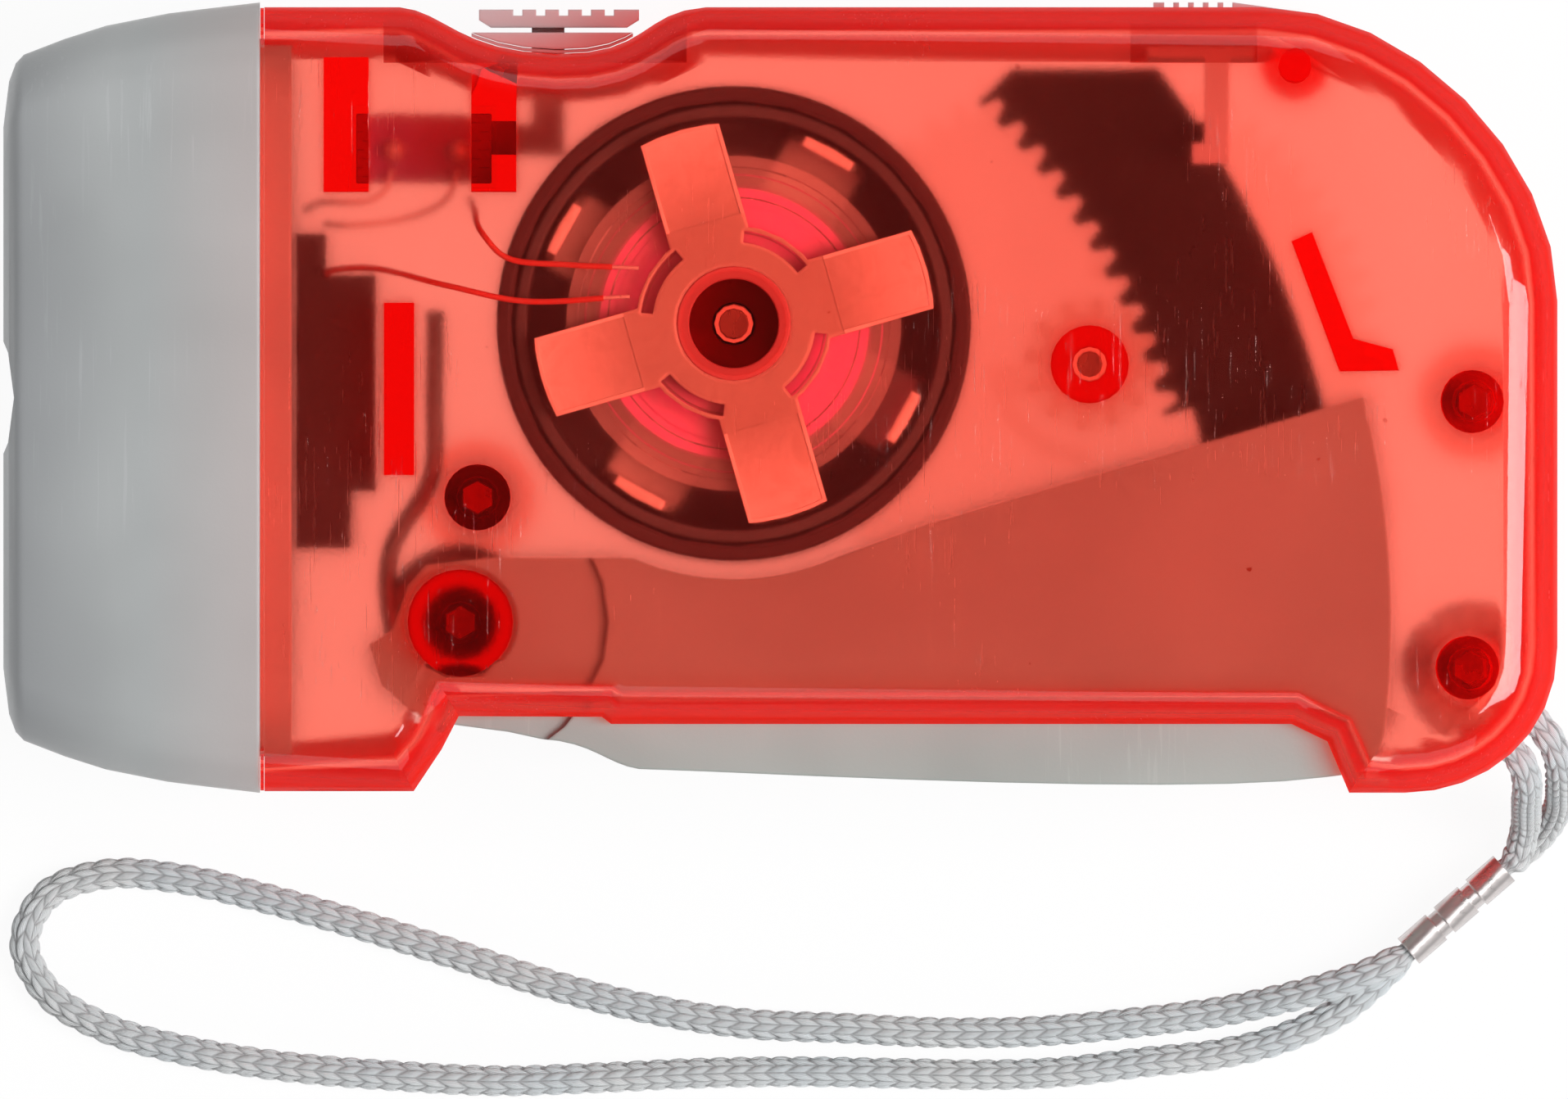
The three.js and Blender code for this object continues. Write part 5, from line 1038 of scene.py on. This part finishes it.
# How far the moulds and dies round the edges of some nodes, in millimetres
edge_radii = {
    "lever": 0.35, "led_holder": 0.3,
    "stator_front_plate": 0.14, "stator_rear_plate": 0.14, "switch_board": 0.1,
    "terminal_1": 0.25, "terminal_2": 0.25, "switch_wiper": 0.1, "ferrule": 0.08,
}


def dress(node, material):
    """Gives a piece its finish, smooth gentle edges and, where it has them, rounded ones."""
    node.data.materials.clear()
    node.data.materials.append(material)
    node.modifiers.new("gentle_edges", "NODES").node_group = gentle_edges
    if node.name in edge_radii:
        rounding = node.modifiers.new("rounded_edges", "BEVEL")
        rounding.width = edge_radii[node.name] * MM
        rounding.segments = 3
        rounding.limit_method = "ANGLE"
        rounding.angle_limit = math.radians(40)
    even = node.modifiers.new("even_faces", "WEIGHTED_NORMAL")
    even.keep_sharp = True


for finish, names in node_finishes.items():
    for name in names:
        dress(nodes[name], finishes[finish])
strap.data.materials.append(finishes["cord"])
spring_wire.data.materials.append(finishes["spring"])
for finish, ring in rings.items():
    dress(ring, finishes[finish])
# The rims round the front claws carry a painted highlight
for rim in claw_highlight_rims:
    rim.data.materials.append(finishes["painted_highlight"])
front_lip.data.materials.append(finishes["red_shell"])
switch_seat.data.materials.append(finishes["button"])
for node, (cover, core) in wires.items():
    cover.data.materials.append(finishes["pale_wire" if node.startswith("switch") else "red_wire"])
    core.data.materials.append(finishes["solder"])


# Studio


FLOOR_HALF = 1.5
FLOOR_LEVEL = -0.1 * MM
FLOOR_GLOW = 0.94


def add_floor():
    """A pale floor that glows for the camera, a little more so through the shells."""
    f = Finish("pale_floor")
    f.set(Base_Color=f.mix(f.grain(60 * MM, 2), (0.86, 0.86, 0.86), (0.9, 0.9, 0.9)), Roughness=0.9)
    path = lambda ray: f.node("ShaderNodeLightPath", out=ray)
    through = path("Is Transmission Ray")
    seen = path("Is Camera Ray").largest(path("Is Glossy Ray")).largest(through)
    glow = f.node("ShaderNodeEmission", values={"Color": (1, 1, 1), "Strength": 1 + through * 0.28})
    joined = f.node("ShaderNodeMixShader", values=[seen * FLOOR_GLOW, f.shader.outputs[0], glow])
    f.tree.links.new(joined.socket, f.surface.inputs["Surface"])
    half = FLOOR_HALF
    points = [(-half, -half, 0), (half, -half, 0), (half, half, 0), (-half, half, 0)]
    floor = make_piece("floor", points, [(0, 1, 2, 3)], smooth=False)
    floor.location.z = FLOOR_LEVEL
    floor.data.materials.append(f.material)
    floor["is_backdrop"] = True


# Each lamp's place, its width and height in metres, and its watts
LAMPS = {
    "tail_key": ((0.47, -0.06, 0.73), (0.34, 0.5), 7.2),
    "head_fill": ((-0.85, 0.15, 0.7), (0.45, 0.8), 1.0),
    "far_fill": ((-0.1, 0.85, 0.65), (0.9, 0.45), 1.9),
    "near_fill": ((0.1, -0.85, 0.6), (0.9, 0.45), 1.9),
}


def add_lamp(name, place, size, power):
    """A soft lamp that faces the torch, and isn't seen through the shells."""
    data = bpy.data.lights.new(name, "AREA")
    data.shape = "RECTANGLE"
    data.size, data.size_y = size
    data.energy = power
    lamp = bpy.data.objects.new(name, data)
    lamp.location = place
    lamp.visible_transmission = False
    lamp.rotation_euler = Vector(place).to_track_quat("Z", "Y").to_euler()
    bpy.context.scene.collection.objects.link(lamp)


# The room is dim overhead, so that the shells' flat tops don't mirror it, and dimmer still for what
# is seen through them, which the lamps light already
ROOM_DIMS_UPWARDS = {"From Min": 0.3, "From Max": 0.92, "To Min": 0.42, "To Max": 0.05}
ROOM_THROUGH_SHELLS = 0.096


def add_world():
    """White for the camera, and a dim room for everything else."""
    world = bpy.data.worlds.new("studio")
    bpy.context.scene.world = world
    world.use_nodes = True
    tree = world.node_tree
    tree.nodes.clear()
    link = tree.links.new

    def background(strength=1.0):
        made = tree.nodes.new("ShaderNodeBackground")
        made.inputs["Color"].default_value = (1, 1, 1, 1)
        made.inputs["Strength"].default_value = strength
        return made

    def choose(ray, other, chosen):
        made = tree.nodes.new("ShaderNodeMixShader")
        link(rays.outputs[ray], made.inputs[0])
        link(other.outputs[0], made.inputs[1])
        link(chosen.outputs[0], made.inputs[2])
        return made

    where = tree.nodes.new("ShaderNodeTexCoord")
    height = tree.nodes.new("ShaderNodeSeparateXYZ")
    dimmed = tree.nodes.new("ShaderNodeMapRange")
    for name, value in ROOM_DIMS_UPWARDS.items():
        dimmed.inputs[name].default_value = value
    room = background()
    link(where.outputs["Generated"], height.inputs[0])
    link(height.outputs["Z"], dimmed.inputs["Value"])
    link(dimmed.outputs[0], room.inputs["Strength"])
    rays = tree.nodes.new("ShaderNodeLightPath")
    through = choose("Is Transmission Ray", room, background(ROOM_THROUGH_SHELLS))
    seen = choose("Is Camera Ray", through, background())
    out = tree.nodes.new("ShaderNodeOutputWorld")
    link(seen.outputs[0], out.inputs["Surface"])


add_floor()
add_world()
for name, (place, size, power) in LAMPS.items():
    add_lamp(name, place, size, power)
bpy.context.scene.view_settings.view_transform = "Standard"

scene_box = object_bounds()
plain = lambda box: [[round(float(x), 6) for x in corner] for corner in box]
{"model": plain(model_box), "scene": plain(scene_box)}
